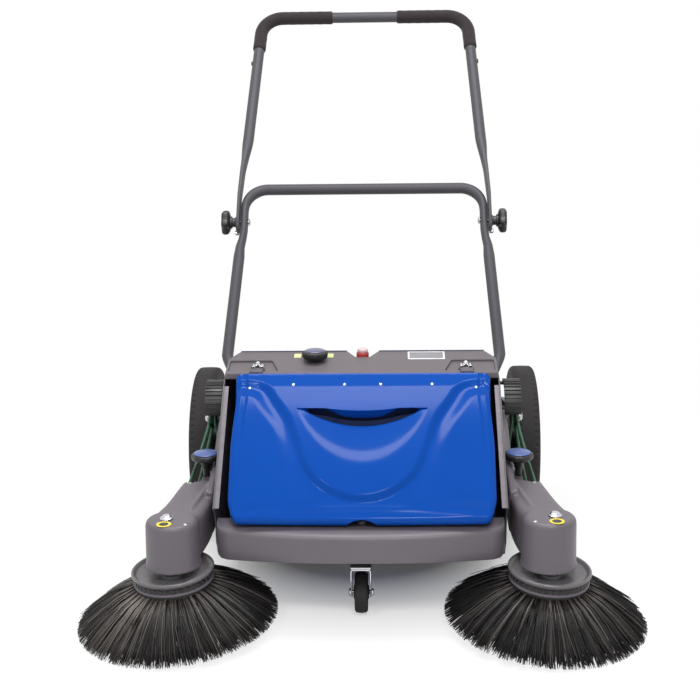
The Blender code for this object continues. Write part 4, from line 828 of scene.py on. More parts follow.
    def on_face(self, x: float, v: float, lift: float = 0.0) -> Array:
        """A point of the finished face at x and v, lifted along the normal."""
        height = float(self.relief(np.array(x), np.array(v))) + self.lip_radius + lift
        y, z = np.array([self.lip_y, self.lip_z]) + v * self.slope + self.normal * height
        return np.array([x + self.shift, y + self.bow * (x / self.half_low) ** 2 * (1 - v), z])

    def build(self) -> None:
        """Make the moulding, its rivets, its two latch tongues and the rubber lip."""
        moulding = self.shell(0.0, 230, 190).build("hopper_moulding", 50)
        carve(moulding, self.shell(self.wall, 31, 34))
        notch = [(0.0285 * math.cos(a) + 0.003, 0.177 + 0.02 * math.sin(a)) for a in np.linspace(0, math.pi, 20)]
        carve(moulding, Skin().plate(np.array(notch)[:, ::-1], -0.44, -0.385, Along.Y))
        smooth(moulding, 32)
        self.place(moulding, Looks.HOPPER, "hopper", "hopper")
        # The slot's dark crescent is painted shade: a dark skin where the opening lies in shadow.
        self.place(self.slot_painted_shade(), Looks.TRIM_AND_SLOT_SHADE, "hopper")
        tilt = np.column_stack(((1, 0, 0), (0, *unit(self.slope)), (0, *self.normal)))
        rivets = Skin()
        for x, v in ((-0.123, 0.898), (-0.032, 0.898), (0.032, 0.898), (0.123, 0.898), (-0.201, 0.89), (0.201, 0.89)):
            head = softened(tenths((0, -10), (31, -10), (31, 8), (18, 19), (0, 22)), 0.001, 4)
            rivets.turn(head, 20, tuple(self.on_face(x, v)), matrix=tilt)
        self.place(rivets.build("hopper_rivets"), Looks.CHROME, "hopper")
        tongues = Skin()
        for side, _ in SIDES:
            x = side * 0.19
            tongues.block((x - 0.0115, -0.1815, 0.388), (x + 0.0115, -0.156, 0.39), 0.0006)
            tongues.block((x - 0.0115, -0.1815, 0.38), (x + 0.0115, -0.1793, 0.3885), 0.0006)
        self.place(tongues.build("hopper_tongues"), Looks.SHEET, "hopper")
        front, rear = self.back + 0.0003, self.back + 0.0028
        foot = self.back - 0.014
        lip = [(front, 0.0585), (rear, 0.0585), (rear, 0.0515), (foot, 0.0285), (foot - 0.003, 0.0285),
            (front, 0.0525)]
        flap = Skin().plate(softened(lip, 0.0012, 4, True), -0.218, 0.218, Along.X, 0.0005)
        self.place(flap.build("hopper_lip_flap"), Looks.RUBBER, "hopper", "hopper_lip")


@dataclass
class Chassis(SubAssembly):
    """The fixed body: bumper, cover beam with its fittings, hood, skirt and the sheet-metal sides."""

    half: float = 0.244
    corner: float = 0.014
    sag: float = 0.008
    front: float = -0.4345
    back: float = -0.36
    bow: float = 0.04
    beam_half: float = 0.247
    beam_front: float = -0.172
    beam_back: float = -0.072
    beam_z: float = 0.385
    beam_depth: float = 0.012
    beam_slope: float = 0.15
    broom_y: float = MAIN_AXIS[0]
    broom_z: float = MAIN_AXIS[1]
    hood_radius: float = 0.1405
    guard_centre: tuple[float, float] = (-0.042, 0.285)
    guard_radius: float = 0.048
    guard_rib: float = 0.002
    sheet: float = 0.002

    def bumper(self) -> Piece:
        """A bowed section carried across X: its front is at front + bow (|x| / half)^2.2, rounded off at its ends.

        Its lower corners are quarter circles: a point's depth under the top shrinks as the foot rises near an end.
        """
        section = softened(tenths((6, 1310), (0, 1500), (6, 1670), (30, 1732), (90, 1768), (240, 1804)), 0.006, 5)
        share = np.concatenate((-1 + np.geomspace(0.0005, 0.08, 7), np.linspace(-0.9, 0.9, 37),
            1 - np.geomspace(0.0005, 0.08, 7)[::-1]))
        over = np.clip((np.abs(share) - 0.93) / 0.07, 0, 1)
        x = share * self.half
        start = self.front + self.bow * np.abs(share) ** 2.2 + 0.016 * (1 - np.sqrt(1 - over ** 2))
        near = np.stack(np.broadcast_arrays(x[:, None], start[:, None] + section[None, :, 0], section[None, :, 1]),
            -1)
        shelf = np.array([(self.back, 0.1813), (self.back, 0.177), (self.back + 0.0001, 0.13), (self.back, 0.129)])
        far = np.stack(np.broadcast_arrays(x[:, None], shelf[None, :, 0], shelf[None, :, 1]), -1)
        under = np.stack((x, start + 0.008, np.full_like(x, 0.1271)), -1)[:, None]
        toe = np.stack((x, start + 0.0022, np.full_like(x, 0.128)), -1)[:, None]
        rings = np.concatenate((near, far, under, toe), 1)
        turned = np.clip((np.abs(x) - self.half + self.corner) / self.corner, 0, 1)
        lift = self.corner * (1 - np.sqrt(1 - turned ** 2))[:, None]
        top, depth = 0.1838, 0.0567
        sag = self.sag * np.clip(np.abs(share), 0, 1)[:, None] ** 2
        rings[..., 2] = top - (top - rings[..., 2]) * (1 + (sag - lift) / depth)
        return Skin().grid(rings, caps=True).build("bumper_moulding", 35)

    def beam_top(self, y: float | Array) -> float | Array:
        """Height of the cover's sloping top at a depth y."""
        return self.beam_z + (y - self.beam_front) * self.beam_slope

    def raked(self, skin: Skin) -> Skin:
        """Lift a skin drawn about z = 0 onto the cover's slope: z becomes z + top(y)."""
        skin.points = [p + np.column_stack((0 * p[:, 0], 0 * p[:, 0], self.beam_top(p[:, 1]))) for p in skin.points]
        return skin

    def beam(self) -> Piece:
        """The cover beam: a clipped outline with a V notch behind, rounded along its edges, and two end pockets."""
        half, near, far = self.beam_half, self.beam_front, self.beam_back
        outline = [(-half, near), (half, near), (half, -0.105), (0.228, far), (0.03, far), (0.013, -0.1),
            (-0.011, -0.1), (-0.027, far), (-0.228, far), (-half, -0.105)]
        body = self.raked(Skin().plate(softened(outline, 0.003, 4, True), -self.beam_depth, 0.0, soft=0.0022))
        piece = body.build("cover_beam", 40)
        for side, _ in SIDES:
            pocket = tenths((1500, -1640), (2425, -1640), (2425, -1150), (1650, -1150))
            cutter = Skin().plate(softened(pocket, 0.005, 5, True), -0.004, 0.02, side=side)
            carve(piece, self.raked(cutter))
        seat = Skin().block((-0.0275, -0.1095, 0.3795), (0.0305, -0.0779, 0.3856), 0.0008)
        carve(piece, seat, "UNION")
        carve(piece, Skin().turn(oblong(0, 0.0122, 0.382, 0.41), 40, (0.001, -0.088, 0)))
        smooth(piece, 38)
        return piece

    def catch(self, side: int, tag: str) -> None:
        """A roller catch: dark base plate and cheeks, two bright rollers lying along Y, and a bright domed stud."""
        x, y, z = side * 0.19, -0.142, 0.3813
        base = Skin().block((x - 0.014, y - 0.011, z), (x + 0.014, y + 0.011, z + 0.004), 0.0008)
        skin = Skin()
        for step in (-0.008, 0.008):
            roller = softened(tenths((0, -98), (30, -98), (42, -80), (42, 80), (30, 98), (0, 98)), 0.001, 4)
            skin.turn(roller, 24, (x + step, y, z + 0.007), Along.Y)
            for end in (-0.0106, 0.009):
                base.block((x + step - 0.003, y + end, z + 0.003), (x + step + 0.003, y + end + 0.0016, z + 0.0105),
                    0.0004)
        stud = softened(tenths((0, 30), (46, 30), (46, 115), (36, 150), (0, 165)), 0.003, 6)
        skin.turn(stud, 28, (x, y + 0.006, z))
        self.place(skin.build("roller_catch_" + tag), Looks.CHROME, "frame", "catch_" + tag)
        self.place(base.build("catch_base_" + tag), Looks.BLACK, "frame")

    def hood(self) -> Piece:
        """The curved sheet over the main broom: an arc about the broom's axis, made thick and carried across X."""
        lines = []
        for offset in (self.sheet, 0.0):
            radius = self.hood_radius + offset
            start = (-0.076 + offset * 0.66, self.beam_top(self.beam_back) - self.beam_depth - 0.004 + offset * 0.75)
            curve = arc((self.broom_y, self.broom_z), radius, 49, -14, 40)
            lines.append(np.vstack(([start], curve, [(self.broom_y + radius * 0.97, 0.058)])))
        return Skin().plate(np.vstack((lines[0], lines[1][::-1])), -0.246, 0.246, Along.X).build("broom_hood_sheet",
            30)

    def fittings(self) -> None:
        """The bare plate with its pale rim, the height marks, the dark trim and the stud that the hopper's lip rests
        on.
        """
        for name, look, grow, low, high in (("bare_plate_rim", Looks.PLATE_RIM, 0.0, 0.0001, 0.0007),
                ("bare_plate", Looks.PLATE, 0.0028, 0.0002, 0.001)):
            outline = softened(inset(oblong(0.085, 0.153, -0.113, -0.079), grow), 0.0015, 4, True)
            self.place(self.raked(Skin().plate(outline, low, high)).build(name), look, "frame")
        marks = Skin()
        for x in (-0.1195, -0.0595):
            corners = oblong(x - 0.0065, x + 0.0065, -0.104, -0.086)
            marks.plate(softened(corners, 0.0012, 3, True), 0.0001, 0.0007)
        self.place(self.raked(marks).build("height_marks"), Looks.PALE, "frame")
        trim = Skin()
        for low, high in ((-0.227, -0.0285), (0.0315, 0.227)):
            trim.plate(oblong(low, high, -0.0745, -0.0722), -0.001, 0.0011, soft=0.0003)
        self.place(self.raked(trim).build("cover_rear_trim"), Looks.TRIM_AND_SLOT_SHADE, "frame")
        screw = softened(tenths((0, 1800), (85, 1800), (85, 1850), (60, 1880), (0, 1888)), 0.002, 5)
        self.place(Skin().turn(screw, 28, (0.003, -0.385, 0)).build("lip_rest_stud"), Looks.SHEET, "frame")

    def side_sheet(self, side: int, tag: str) -> None:
        """One steel side with its shaft hole, and the return flange that is folded inwards beside the hopper."""
        top = self.beam_z - self.beam_depth - 0.0003
        back_top = self.beam_top(self.beam_back) - self.beam_depth - 0.0003
        rear = arc((0.13, 0.155), 0.056, 50, -60, 16)
        outline = [(-0.354, 0.133), (-0.356, 0.16), (-0.36, 0.184), (-0.383, 0.206), (-0.188, 0.366),
            (self.beam_front, top), (self.beam_back, back_top), (-0.03, 0.354), (0.001, 0.329), *rear, (0.11, 0.062),
            (-0.13, 0.045), (-0.27, 0.095), (-0.33, 0.101)]
        plate = Skin().plate(softened(outline, 0.003, 4, True), 0.2465, 0.249, Along.X, 0.0005, side)
        piece = plate.build("side_sheet_" + tag, 35)
        hole = oblong(0, 0.0165, 0.24, 0.26) * (1, side)
        carve(piece, Skin().turn(hole, 40, (0, self.broom_y, self.broom_z), Along.X))
        smooth(piece, 35)
        self.place(piece, Looks.SHEET, "frame", "side_plate_" + tag)
        fold = np.array(tenths((-3824, 2068), (-1890, 3654), (-1877, 3639), (-3811, 2053)))
        flange = Skin().plate(fold, 0.238, 0.2464, Along.X, 0.0004, side)
        self.place(flange.build("side_flange_" + tag, 35), Looks.BODY, "frame")
        self.place(self.pulley_guard(side, tag), Looks.BLACK, "frame")

    def pulley_guard(self, side: int, tag: str) -> Piece:
        """Ribbed quarter guard over the arm's upper pulley: its outer radius steps by 2 mm at each rib."""
        (y0, z0), radius = self.guard_centre, self.guard_radius
        steps = np.radians(np.linspace(66, 186, 121))
        outer = radius + self.guard_rib * (np.arange(121) % 10 < 5)
        shell = np.column_stack((y0 + outer * np.cos(steps), z0 + outer * np.sin(steps)))
        inner = arc((y0, z0), radius - 0.003, 186, 66, 40)
        skin = Skin().plate(np.vstack((shell, inner)), 0.2665, 0.2985, Along.X, 0.0003, side)
        near, far = sorted((side * 0.2485, side * 0.275))
        for y, z in ((y0, z0 + radius - 0.008), (y0 - radius + 0.003, z0 + 0.004)):
            skin.block((near, y - 0.003, z), (far, y + 0.003, z + 0.006), 0.0005)
        return skin.build("pulley_guard_" + tag, 30)

    def crossmember(self) -> Piece:
        """Folded plate behind the bumper that carries the caster; its ends sweep back to clear a raised side broom."""
        outline = np.array(tenths((400, -3680), (700, -3400), (2460, -2950), (2460, -2850), (1900, -2850),
            (600, -3160)))
        outline = np.vstack((outline, outline[::-1] * (-1, 1)))
        skin = Skin().plate(softened(outline, 0.003, 4, True), 0.1008, 0.1038, soft=0.0006)
        skin.block((-0.04, -0.3676, 0.103), (0.04, -0.365, 0.124), 0.0005)
        return skin.build("crossmember_plate", 35)

    def caster_seat(self) -> Piece:
        """Small plate under the crossmember that the caster's fork hangs from, with its four rivet heads."""
        skin = Skin().block((-0.0172, -0.386, 0.0966), (0.0172, -0.34, 0.1007), 0.0008)
        for x in (-0.012, 0.012):
            for y in (-0.38, -0.346):
                skin.turn(softened(tenths((0, 952), (22, 956), (30, 968), (0, 968)), 0.0006, 3), 16, (x, y, 0))
        return skin.build("caster_seat_plate", 35)

    def build(self) -> None:
        """Make the bumper, beam, catches, hood, skirt and fittings, and dress the flat sheet-metal nodes."""
        self.place(self.bumper(), Looks.BODY, "frame", "bumper")
        self.place(self.beam(), Looks.COVER, "frame", "top_beam")
        for side, tag in SIDES:
            self.catch(side, tag)
        self.place(self.hood(), Looks.SHEET, "frame", "broom_hood")
        edge = self.broom_y + (self.hood_radius + self.sheet) * 0.97 + 0.0003
        skirt = [(edge, 0.086), (edge + 0.0025, 0.086), (edge + 0.006, 0.006), (edge + 0.0035, 0.006)]
        flap = Skin().plate(softened(skirt, 0.001, 3, True), -0.245, 0.245, Along.X, 0.0004)
        self.place(flap.build("rear_skirt_flap"), Looks.RUBBER, "frame", "rear_skirt")
        self.fittings()
        for side, tag in SIDES:
            self.side_sheet(side, tag)
        # The crossmember gets painted shade, darker than its own sheet-metal grey.
        self.place(self.crossmember(), Looks.PAINTED_SHADE, "frame", "front_crossmember")
        self.dress(Looks.SHEET, "arm_stop_right", "arm_stop_left")
        self.place(self.caster_seat(), Looks.STEEL, "frame", "caster_plate")


def fibres(name: str, paths: Array, width: Array, tone: Array) -> Piece:
    """Many strands in one mesh: a three-cornered section carried along each path and narrowed towards its tip.

    At a share s of a path the section's radius is width (1 - 0.25 s^2). The mesh keeps each strand's tone and the
    share s in the point attributes "tone" and "along".

    Args:
        name: Name of the piece.
        paths: Array of (strands, levels, 3).
        width: Radius of each strand at its root.
        tone: Tone of each strand, 0 to 1.

    Returns:
        The piece.
    """
    count, levels = paths.shape[:2]
    share = np.linspace(0, 1, levels)
    ahead = unit(np.gradient(paths, axis=1))
    out = unit(np.cross(ahead, (0.31, 0.83, 0.46)))
    over = np.cross(ahead, out)
    turn = np.radians((90, 210, 330))
    reach = width[:, None, None] * (1 - 0.25 * share ** 2)[None, :, None]
    spokes = out[:, :, None] * np.cos(turn)[:, None] + over[:, :, None] * np.sin(turn)[:, None]
    piece = Skin().grid(paths[:, :, None] + spokes * reach[..., None], caps=True).build(name, 180, 0)
    for key, values in (("tone", np.repeat(tone, levels * 3)), ("along", np.tile(np.repeat(share, 3), count))):
        piece.data.attributes.new(key, "FLOAT", "POINT").data.foreach_set("value", values.astype(np.float32))
    return piece


def leaning(side: int) -> Array:
    """Turn from the upright to a side broom's axis: ahead about X, then out about Y."""
    out, ahead = (math.radians(a) for a in BROOM_LEAN)
    return np.array(Matrix.Rotation(side * out, 3, "Y") @ Matrix.Rotation(ahead, 3, "X"))


@dataclass
class SideBroom(SubAssembly):
    """One driven side broom: flange, ribbed hub, bristle tufts and the spindle through the head."""

    side: int
    tag: str
    x: float = BROOM_SPOT[0]
    y: float = BROOM_SPOT[1]
    flange_radius: float = 0.0705
    flange_top: float = 0.104
    backing_z: float = 0.0832
    tip_radius: float = 0.1708
    tip_z: float = 0.0118
    tuft_rings: tuple = (0.048, 0.0535, 0.059, 0.0645)
    tufts: int = 40
    strands: int = 38
    flange_lift: float = 0.003
    bolt_z: float = 0.2003

    def set_down(self, skin: Skin) -> Skin:
        """Lean a skin that is drawn about the broom's own axis, and move it to its place."""
        skin.points = [p @ leaning(self.side).T + (self.side * self.x, self.y, 0) for p in skin.points]
        return skin

    def flange(self) -> Piece:
        """Dished flange disc with a raised rounded rim."""
        r, top = self.flange_radius, self.flange_top + self.flange_lift
        profile = [(0, 0.097), (0, 0.099), (0.03, 0.0992), (0.05, 0.0994), (0.062, 0.1016), (0.0656, top - 0.0008),
            (0.0684, top + 0.0004), (r - 0.0002, top - 0.0012), (r, top - 0.004), (r - 0.0008, top - 0.0062),
            (0.064, 0.0958), (0.06, 0.0952), (0, 0.0952)]
        smooth_profile = np.vstack(([profile[1]], softened(profile[1:-1], 0.0022, 5)[1:], [profile[-1]]))
        return self.set_down(Skin().turn(smooth_profile, 96)).build("side_broom_flange_" + self.tag, 40)

    def hub(self) -> Piece:
        """Black hub under the flange, with upright ribs round it: the radius is scaled by 1 + 0.02 on each rib."""
        profile = [(0, 0.0951), (0.04, 0.0951), (0.06, 0.096), (0.0622, 0.0945), (0.064, 0.0888), (0, 0.0888)]
        ribs = Skin().turn(profile, 288, ripple=lambda a, h: 1 + 0.026 * (np.cos(36 * a) > 0.2))
        return self.set_down(ribs).build("side_broom_hub_" + self.tag, 30)

    def collar(self) -> Piece:
        """Dark ring that holds the tufts."""
        low = self.backing_z + 0.0003
        profile = softened([(0, 0.0887), (0.0655, 0.0887), (0.068, 0.0876), (0.0684, 0.085), (0.0674, low), (0, low)],
            0.0012, 4)
        return self.set_down(Skin().turn(profile, 96)).build("side_broom_collar_" + self.tag, 40)

    def bed(self) -> Piece:
        """Backing ring that the tufts grow out of."""
        low, high = self.backing_z - 0.004, self.backing_z
        return self.set_down(Skin().turn(oblong(0.0455, 0.0668, low, high), 72,
            closed=True)).build("side_broom_bed_" + self.tag, 40)

    def bristles(self) -> Piece:
        """Tufts of long strands that flare outwards and down.

        A strand runs from its root radius a to its tip radius b: at a share s its radius is a + (b - a) s^0.88 and its
        height falls as s^1.18, with a sideways sweep that grows as s^2. Tufts differ in length, spread and sweep.

        Returns:
            The piece.
        """
        rng = np.random.default_rng(11 if self.side > 0 else 23)
        rings = len(self.tuft_rings)
        ring = np.repeat(np.arange(rings), self.tufts * self.strands)
        tuft = np.tile(np.repeat(np.arange(self.tufts), self.strands), rings)
        total = len(ring)
        angle = 2 * math.pi * (tuft + 0.5 * (ring % 2)) / self.tufts
        per_tuft = rng.normal(0, 1, (rings, self.tufts, 4))[ring, tuft]
        own = rng.normal(0, 1, (total, 5))
        start = np.array(self.tuft_rings)[ring] + 0.0013 * np.clip(own[:, 0], -1.5, 1.5)
        root_angle = angle + 0.022 * np.clip(own[:, 1], -1.6, 1.6)
        layer = (ring + 0.5) / rings
        reach = self.tip_radius * (0.78 + 0.25 * layer) + 0.0012 * per_tuft[:, 0] + 0.003 * own[:, 2]
        reach = np.minimum(reach, self.tip_radius + 0.0006 * own[:, 4].clip(-1, 1))
        tip_angle = angle + 0.02 * per_tuft[:, 2] + 0.048 * own[:, 1] + 0.02
        drop = self.tip_z + 0.0005 + np.abs(own[:, 3]) * 0.0035 * (0.4 + layer)
        share = np.linspace(0, 1, 5)[None, :]
        radius = start[:, None] + (reach - start)[:, None] * share ** 0.88
        turn = root_angle[:, None] + (tip_angle - root_angle)[:, None] * share ** 1.4
        height = (self.backing_z - 0.003) - (self.backing_z - 0.003 - drop)[:, None] * share ** 1.18
        paths = np.stack((radius * np.cos(turn), radius * np.sin(turn), height), -1)
        paths = paths @ leaning(self.side).T + (self.side * self.x, self.y, 0)
        # Painted sheen: strands towards the left broom's lower left get a higher tone as a painted highlight, and the
        # base tone is higher on the left broom than the right, painted light and shade between the sides.
        sheen = (0.62 if self.side < 0 else 0.06) * np.clip(np.cos(angle + 2.3), 0, 1) ** 6 * layer
        painted_side_tone = 0.11 if self.side < 0 else 0.02
        tone = np.clip(painted_side_tone + sheen + 0.08 * per_tuft[:, 3] + 0.32 * own[:, 0], 0, 1)
        return fibres("side_broom_tufts_" + self.tag, paths, np.full(total, 0.00066), tone)

    def spindle(self) -> Piece:
        """Spindle with its collar, belt sheave and the bright domed bolt on top of the head."""
        low, high = 0.1703, 0.1781
        profile = [(0, 0.0993), (0.02, 0.0993), (0.02, 0.1085), (0.0185, 0.11), (0.01, 0.115), (0.006, 0.118),
            (0.006, low - 0.002), (0.0195, low - 0.001), (0.0195, low), (0.0142, 0.172), (0.0142, 0.1764),
            (0.0195, high), (0.0195, high + 0.001), (0.006, high + 0.002), (0.006, self.bolt_z),
            (0.0112, self.bolt_z), (0.0112, self.bolt_z + 0.0016), (0.0092, self.bolt_z + 0.002),
            (0.0084, self.bolt_z + 0.0036), (0.006, self.bolt_z + 0.0056), (0, self.bolt_z + 0.0064)]
        return self.set_down(Skin().turn(softened(profile, 0.0008, 4), 48)).build("side_broom_spindle_" + self.tag)

    def build(self) -> None:
        """Make the broom's pieces and place them on its body."""
        body = "side_broom_" + self.tag
        self.place(self.flange(), Looks.FLANGE, body, "side_broom_disc_" + self.tag)
        self.place(self.hub(), Looks.BLACK, body)
        self.place(self.collar(), Looks.BODY, body)
        self.place(self.bed(), Looks.BLACK, body)
        self.place(self.bristles(), Looks.BRISTLE, body, "side_broom_bristles_" + self.tag)
        self.place(self.spindle(), Looks.CHROME, body, "side_broom_spindle_" + self.tag)


@dataclass
class SideArm(SubAssembly):
    """A swinging arm with its round head, pivot, belts and height adjuster."""

    side: int
    tag: str
    pivot_y: float = -0.042
    pivot_z: float = 0.262
    head_x: float = 0.3155
    head_y: float = -0.3985
    head_base: float = 0.046
    head_top: float = 0.0445
    head_low: float = 0.1125
    head_high: float = 0.2
    wall: float = 0.004
    adjuster_x: float = 0.2815
    adjuster_y: float = -0.212
    idler_radius: float = 0.018
    sheave_height: float = 0.1742
    belt_radius: float = 0.0028
    front_belt_x: float = 0.2915
    rear_belt_x: float = REAR_BELT_X
    pin_bore: float = 0.0066

    def lofted(self, stations: list, power: float, sides: int = 44) -> Array:
        """Rings of a squared section along Y.

        A station is (y, x low, x high, z low, z high). Its ring is centre + half size (|cos a|^p, |sin a|^p) with the
        signs of cos and sin, and the stations are first joined by rounded corners.

        Args:
            stations: Rows of the five numbers.
            power: Power p, small for a squarer section.
            sides: Points of a ring.

        Returns:
            Array of (rings, sides, 3).
        """
        line = softened(stations, 0.03, 7)
        angle = 2 * math.pi * (np.arange(sides) + 0.5) / sides
        c, s = np.cos(angle), np.sin(angle)
        x = (line[:, 1:2] + line[:, 2:3]) / 2 + (line[:, 2:3] - line[:, 1:2]) / 2 * np.sign(c) * np.abs(c) ** power
        z = (line[:, 3:4] + line[:, 4:5]) / 2 + (line[:, 4:5] - line[:, 3:4]) / 2 * np.sign(s) * np.abs(s) ** power
        return np.stack((x, np.broadcast_to(line[:, :1], x.shape), z), -1)

    def box_stations(self, wall: float = 0.0, drop: float = 0.0) -> list:
        """Stations of the broad part that flares out to the head; a wall and a drop give its hollow."""
        rows = [(-0.158, 0.26, 0.285, 0.17, 0.19), (-0.165, 0.2572, 0.296, 0.162, 0.197),
            (-0.205, 0.257, 0.314, 0.15, 0.204), (-0.262, 0.2568, 0.324, 0.138, 0.2043),
            (-0.33, 0.2585, 0.337, 0.126, self.head_high + 0.0017),
            (-0.375, 0.267, 0.351, 0.118, self.head_high - 0.0003),
            (-0.398, 0.277, 0.354, 0.115, self.head_high - 0.0012)]
        if not wall:
            return rows
        return [(y - wall * (i == 0), x0 + wall, x1 - wall, low - drop, high - wall) for i,
            (y, x0, x1, low, high) in enumerate(rows[1:])]

    def head_profile(self, wall: float = 0.0, drop: float = 0.0) -> Array:
        """Section of the head: a flared foot, a slightly tapered wall and a soft top edge."""
        base, top, high = self.head_base - wall, self.head_top - wall, self.head_high - wall
        if wall:
            return np.array([(0, self.head_low - drop), (base, self.head_low - drop), (top, high - 0.004), (0, high)])
        corners = [(0, self.head_low), (base + 0.0022, self.head_low), (base + 0.0022, self.head_low + 0.003),
            (base + 0.0002, self.head_low + 0.0085), (top, high - 0.006), (top - 0.005, high), (0, high)]
        return softened(corners, 0.005, 5)

    def ridge(self) -> Array:
        """Line of the raised rib along the outer face of the strip."""
        line = [(0.27, -0.042, 0.2765), (0.2702, -0.1, 0.263), (0.2702, -0.164, 0.23)]
        return softened(line, 0.03, 8)

    def crest(self) -> Array:
        """Line of the rounded crest along the inner edge of the box's top."""
        line = [(0.2622, -0.195, 0.215), (0.267, -0.245, 0.2062), (0.278, -0.305, 0.202),
            (0.29, -0.36, self.head_high - 0.0016)]
        return softened(line, 0.03, 8)

    def shell(self) -> Piece:
        """The arm in one skin: strip, box, head and rib melted together, then hollowed, slotted and bored."""
        strip = tenths((-215, 2562, 2700, 2560, 2680), (-230, 2560, 2700, 2520, 2720), (-300, 2560, 2700, 2450, 2785),
            (-420, 2560, 2700, 2410, 2830), (-1000, 2560, 2700, 2150, 2700), (-1640, 2560, 2700, 1700, 2370),
            (-1820, 2560, 2700, 1620, 2308), (-2400, 2560, 2700, 1480, 2260), (-3100, 2560, 2700, 1350, 2080))
        skin = Skin().grid(self.lofted(strip, 0.34), caps=True)
        skin.grid(self.lofted(self.box_stations(), 0.26), caps=True)
        skin.turn(self.head_profile(), 72, (self.head_x, self.head_y, 0))
        skin.tube(self.ridge(), 0.003, 12)
        skin.tube(self.crest(), 0.0042, 14)
        skin.points = [mirrored(p, self.side) for p in skin.points]
        piece = flowed(skin.build("arm_shell_" + self.tag), 0.002, 5)
        hollow = Skin().grid(mirrored(self.lofted(self.box_stations(self.wall, 0.03), 0.26, 28), self.side),
            caps=True)
        carve(piece, hollow)
        place = (self.side * self.head_x, self.head_y, 0)
        carve(piece, Skin().turn(self.head_profile(self.wall, 0.03), 48, place))
        slot = tenths((2885, -1500), (3280, -1500), (3200, -2050), (3200, -2450), (2885, -2450))
        carve(piece, Skin().plate(softened(slot, 0.006, 5, True), 0.174, 0.23, side=self.side))
        bore = self.pin_bore
        for centre, along, low, high, radius in (((0, self.pivot_y, self.pivot_z), Along.X, 0.25, 0.28, bore),
                ((self.side * self.adjuster_x, self.adjuster_y, 0), Along.Z, 0.1, 0.24, bore),
                ((self.side * 0.306, -0.247, 0), Along.Z, 0.2015, 0.24, 0.0065),
                ((0, -0.133, 0.232), Along.X, 0.266, 0.28, 0.008)):
            sign = self.side if along is Along.X else 1
            carve(piece, Skin().turn(oblong(0, radius, sign * low, sign * high), 28, centre, along))
        spot = (self.side * BROOM_SPOT[0], BROOM_SPOT[1], 0)
        carve(piece, Skin().turn(oblong(0, bore + 0.0002, 0.15, 0.23), 28, spot, matrix=leaning(self.side)))
        smooth(piece, 34)
        return piece

    def fittings(self) -> None:
        """The printed ring on the head, its dark centre and small screws."""
        body, top = "arm_" + self.tag, self.head_high
        place = (self.side * (self.head_x + 0.009), self.head_y - 0.0268, 0)
        loop = softened(oblong(0.008, 0.0124, top, top + 0.0006), 0.0003, 3, True)
        ring = Skin().turn(loop, 56, place, closed=True)
        self.place(ring.build("head_ring_" + self.tag), Looks.YELLOW, body)
        disc = Skin().turn(oblong(0, 0.0079, top, top + 0.0004), 48, place)
        self.place(disc.build("head_ring_centre_" + self.tag), Looks.BLACK, body)
        screws = Skin()
        for x, y, z, size in ((0.289, -0.424, top - 0.0015, 0.0036), (0.306, -0.247, 0.201, 0.0048),
                (0.266, -0.302, 0.207, 0.0032)):
            head = softened([(0, z), (size, z), (size, z + 0.0012), (size * 0.5, z + 0.0022), (0, z + 0.0024)], 0.001,
                4)
            screws.turn(head, 24, (self.side * x, y, 0))
        self.place(screws.build("arm_screws_" + self.tag), Looks.STEEL, body)

    def front_belt(self) -> Piece:
        """Loop of the front belt: over the idler, down inside the arm and round the sheave on the broom's spindle.

        Both wraps are arcs, centre + r (cos a, sin a), in the idler's YZ plane and in the sheave's leaning plane, and
        the two runs between them pass through set points.
        """
        turns = np.radians(np.linspace(-68, 110, 22))[:, None]
        eye = np.array([self.front_belt_x, self.pivot_y, self.pivot_z])
        top = eye + self.idler_radius * (np.cos(turns) * (0, 1, 0) + np.sin(turns) * (0, 0, 1))
        lean = leaning(1)
        centre = np.array([*BROOM_SPOT, 0]) + lean @ (0, 0, self.sheave_height)
        turns = np.radians(np.linspace(20, -205, 28))[:, None]
        around = centre + self.idler_radius * (np.cos(turns) * lean[:, 0] + np.sin(turns) * lean[:, 1])
        ahead = [(0.2922, -0.1, 0.256), (0.304, -0.2, 0.213), (0.313, -0.26, 0.189), (0.332, -0.34, 0.177)]
        behind = [(0.301, -0.34, 0.177), (0.2955, -0.26, 0.186), (0.2935, -0.2, 0.2), (0.2918, -0.1, 0.227)]
        path = softened(np.vstack((top, ahead, around, behind)), 0.03, 5, True)
        share = ease(-path[:, 1:2], 0.06, 0.3)
        level = unit((1 - share) * (1, 0, 0) + share * (0, 0, 1))
        skin = Skin().tube(path, self.belt_radius, 14, level, closed=True)
        skin.points = [mirrored(p, self.side) for p in skin.points]
        return skin.build("front_drive_belt_" + self.tag)

    def rear_belt(self) -> Piece:
        """Loop of the rear belt: the outer tangents of the wheel's sheave and the idler, joined by their arcs."""
        big, small, (y, z) = WHEEL_SHEAVE, self.idler_radius, WHEEL_AXIS
        away = np.array([self.pivot_y - y, self.pivot_z - z])
        heading = math.degrees(math.atan2(away[1], away[0]))
        spread = math.degrees(math.acos((big - small) / float(np.linalg.norm(away))))
        first = arc((self.pivot_y, self.pivot_z), small, heading - spread, heading + spread, 20)
        second = arc((y, z), big, heading + spread, heading + 360 - spread, 64)
        loop = np.vstack((first, second))
        path = np.column_stack((np.full(len(loop), self.side * self.rear_belt_x), loop))
        return Skin().tube(path, self.belt_radius, 14, (1, 0, 0), closed=True).build("rear_drive_belt_" + self.tag)

    def grooved(self, x: float, radius: float) -> list:
        """Profile points of one belt groove at a distance x, for a belt whose middle runs at a radius."""
        rim, floor = radius + 0.0015, radius - self.belt_radius - 0.0014
        return [(rim, x - 0.0039), (floor + 0.001, x - 0.0028), (floor, x - 0.0016), (floor, x + 0.0016),
            (floor + 0.001, x + 0.0028), (rim, x + 0.0039)]

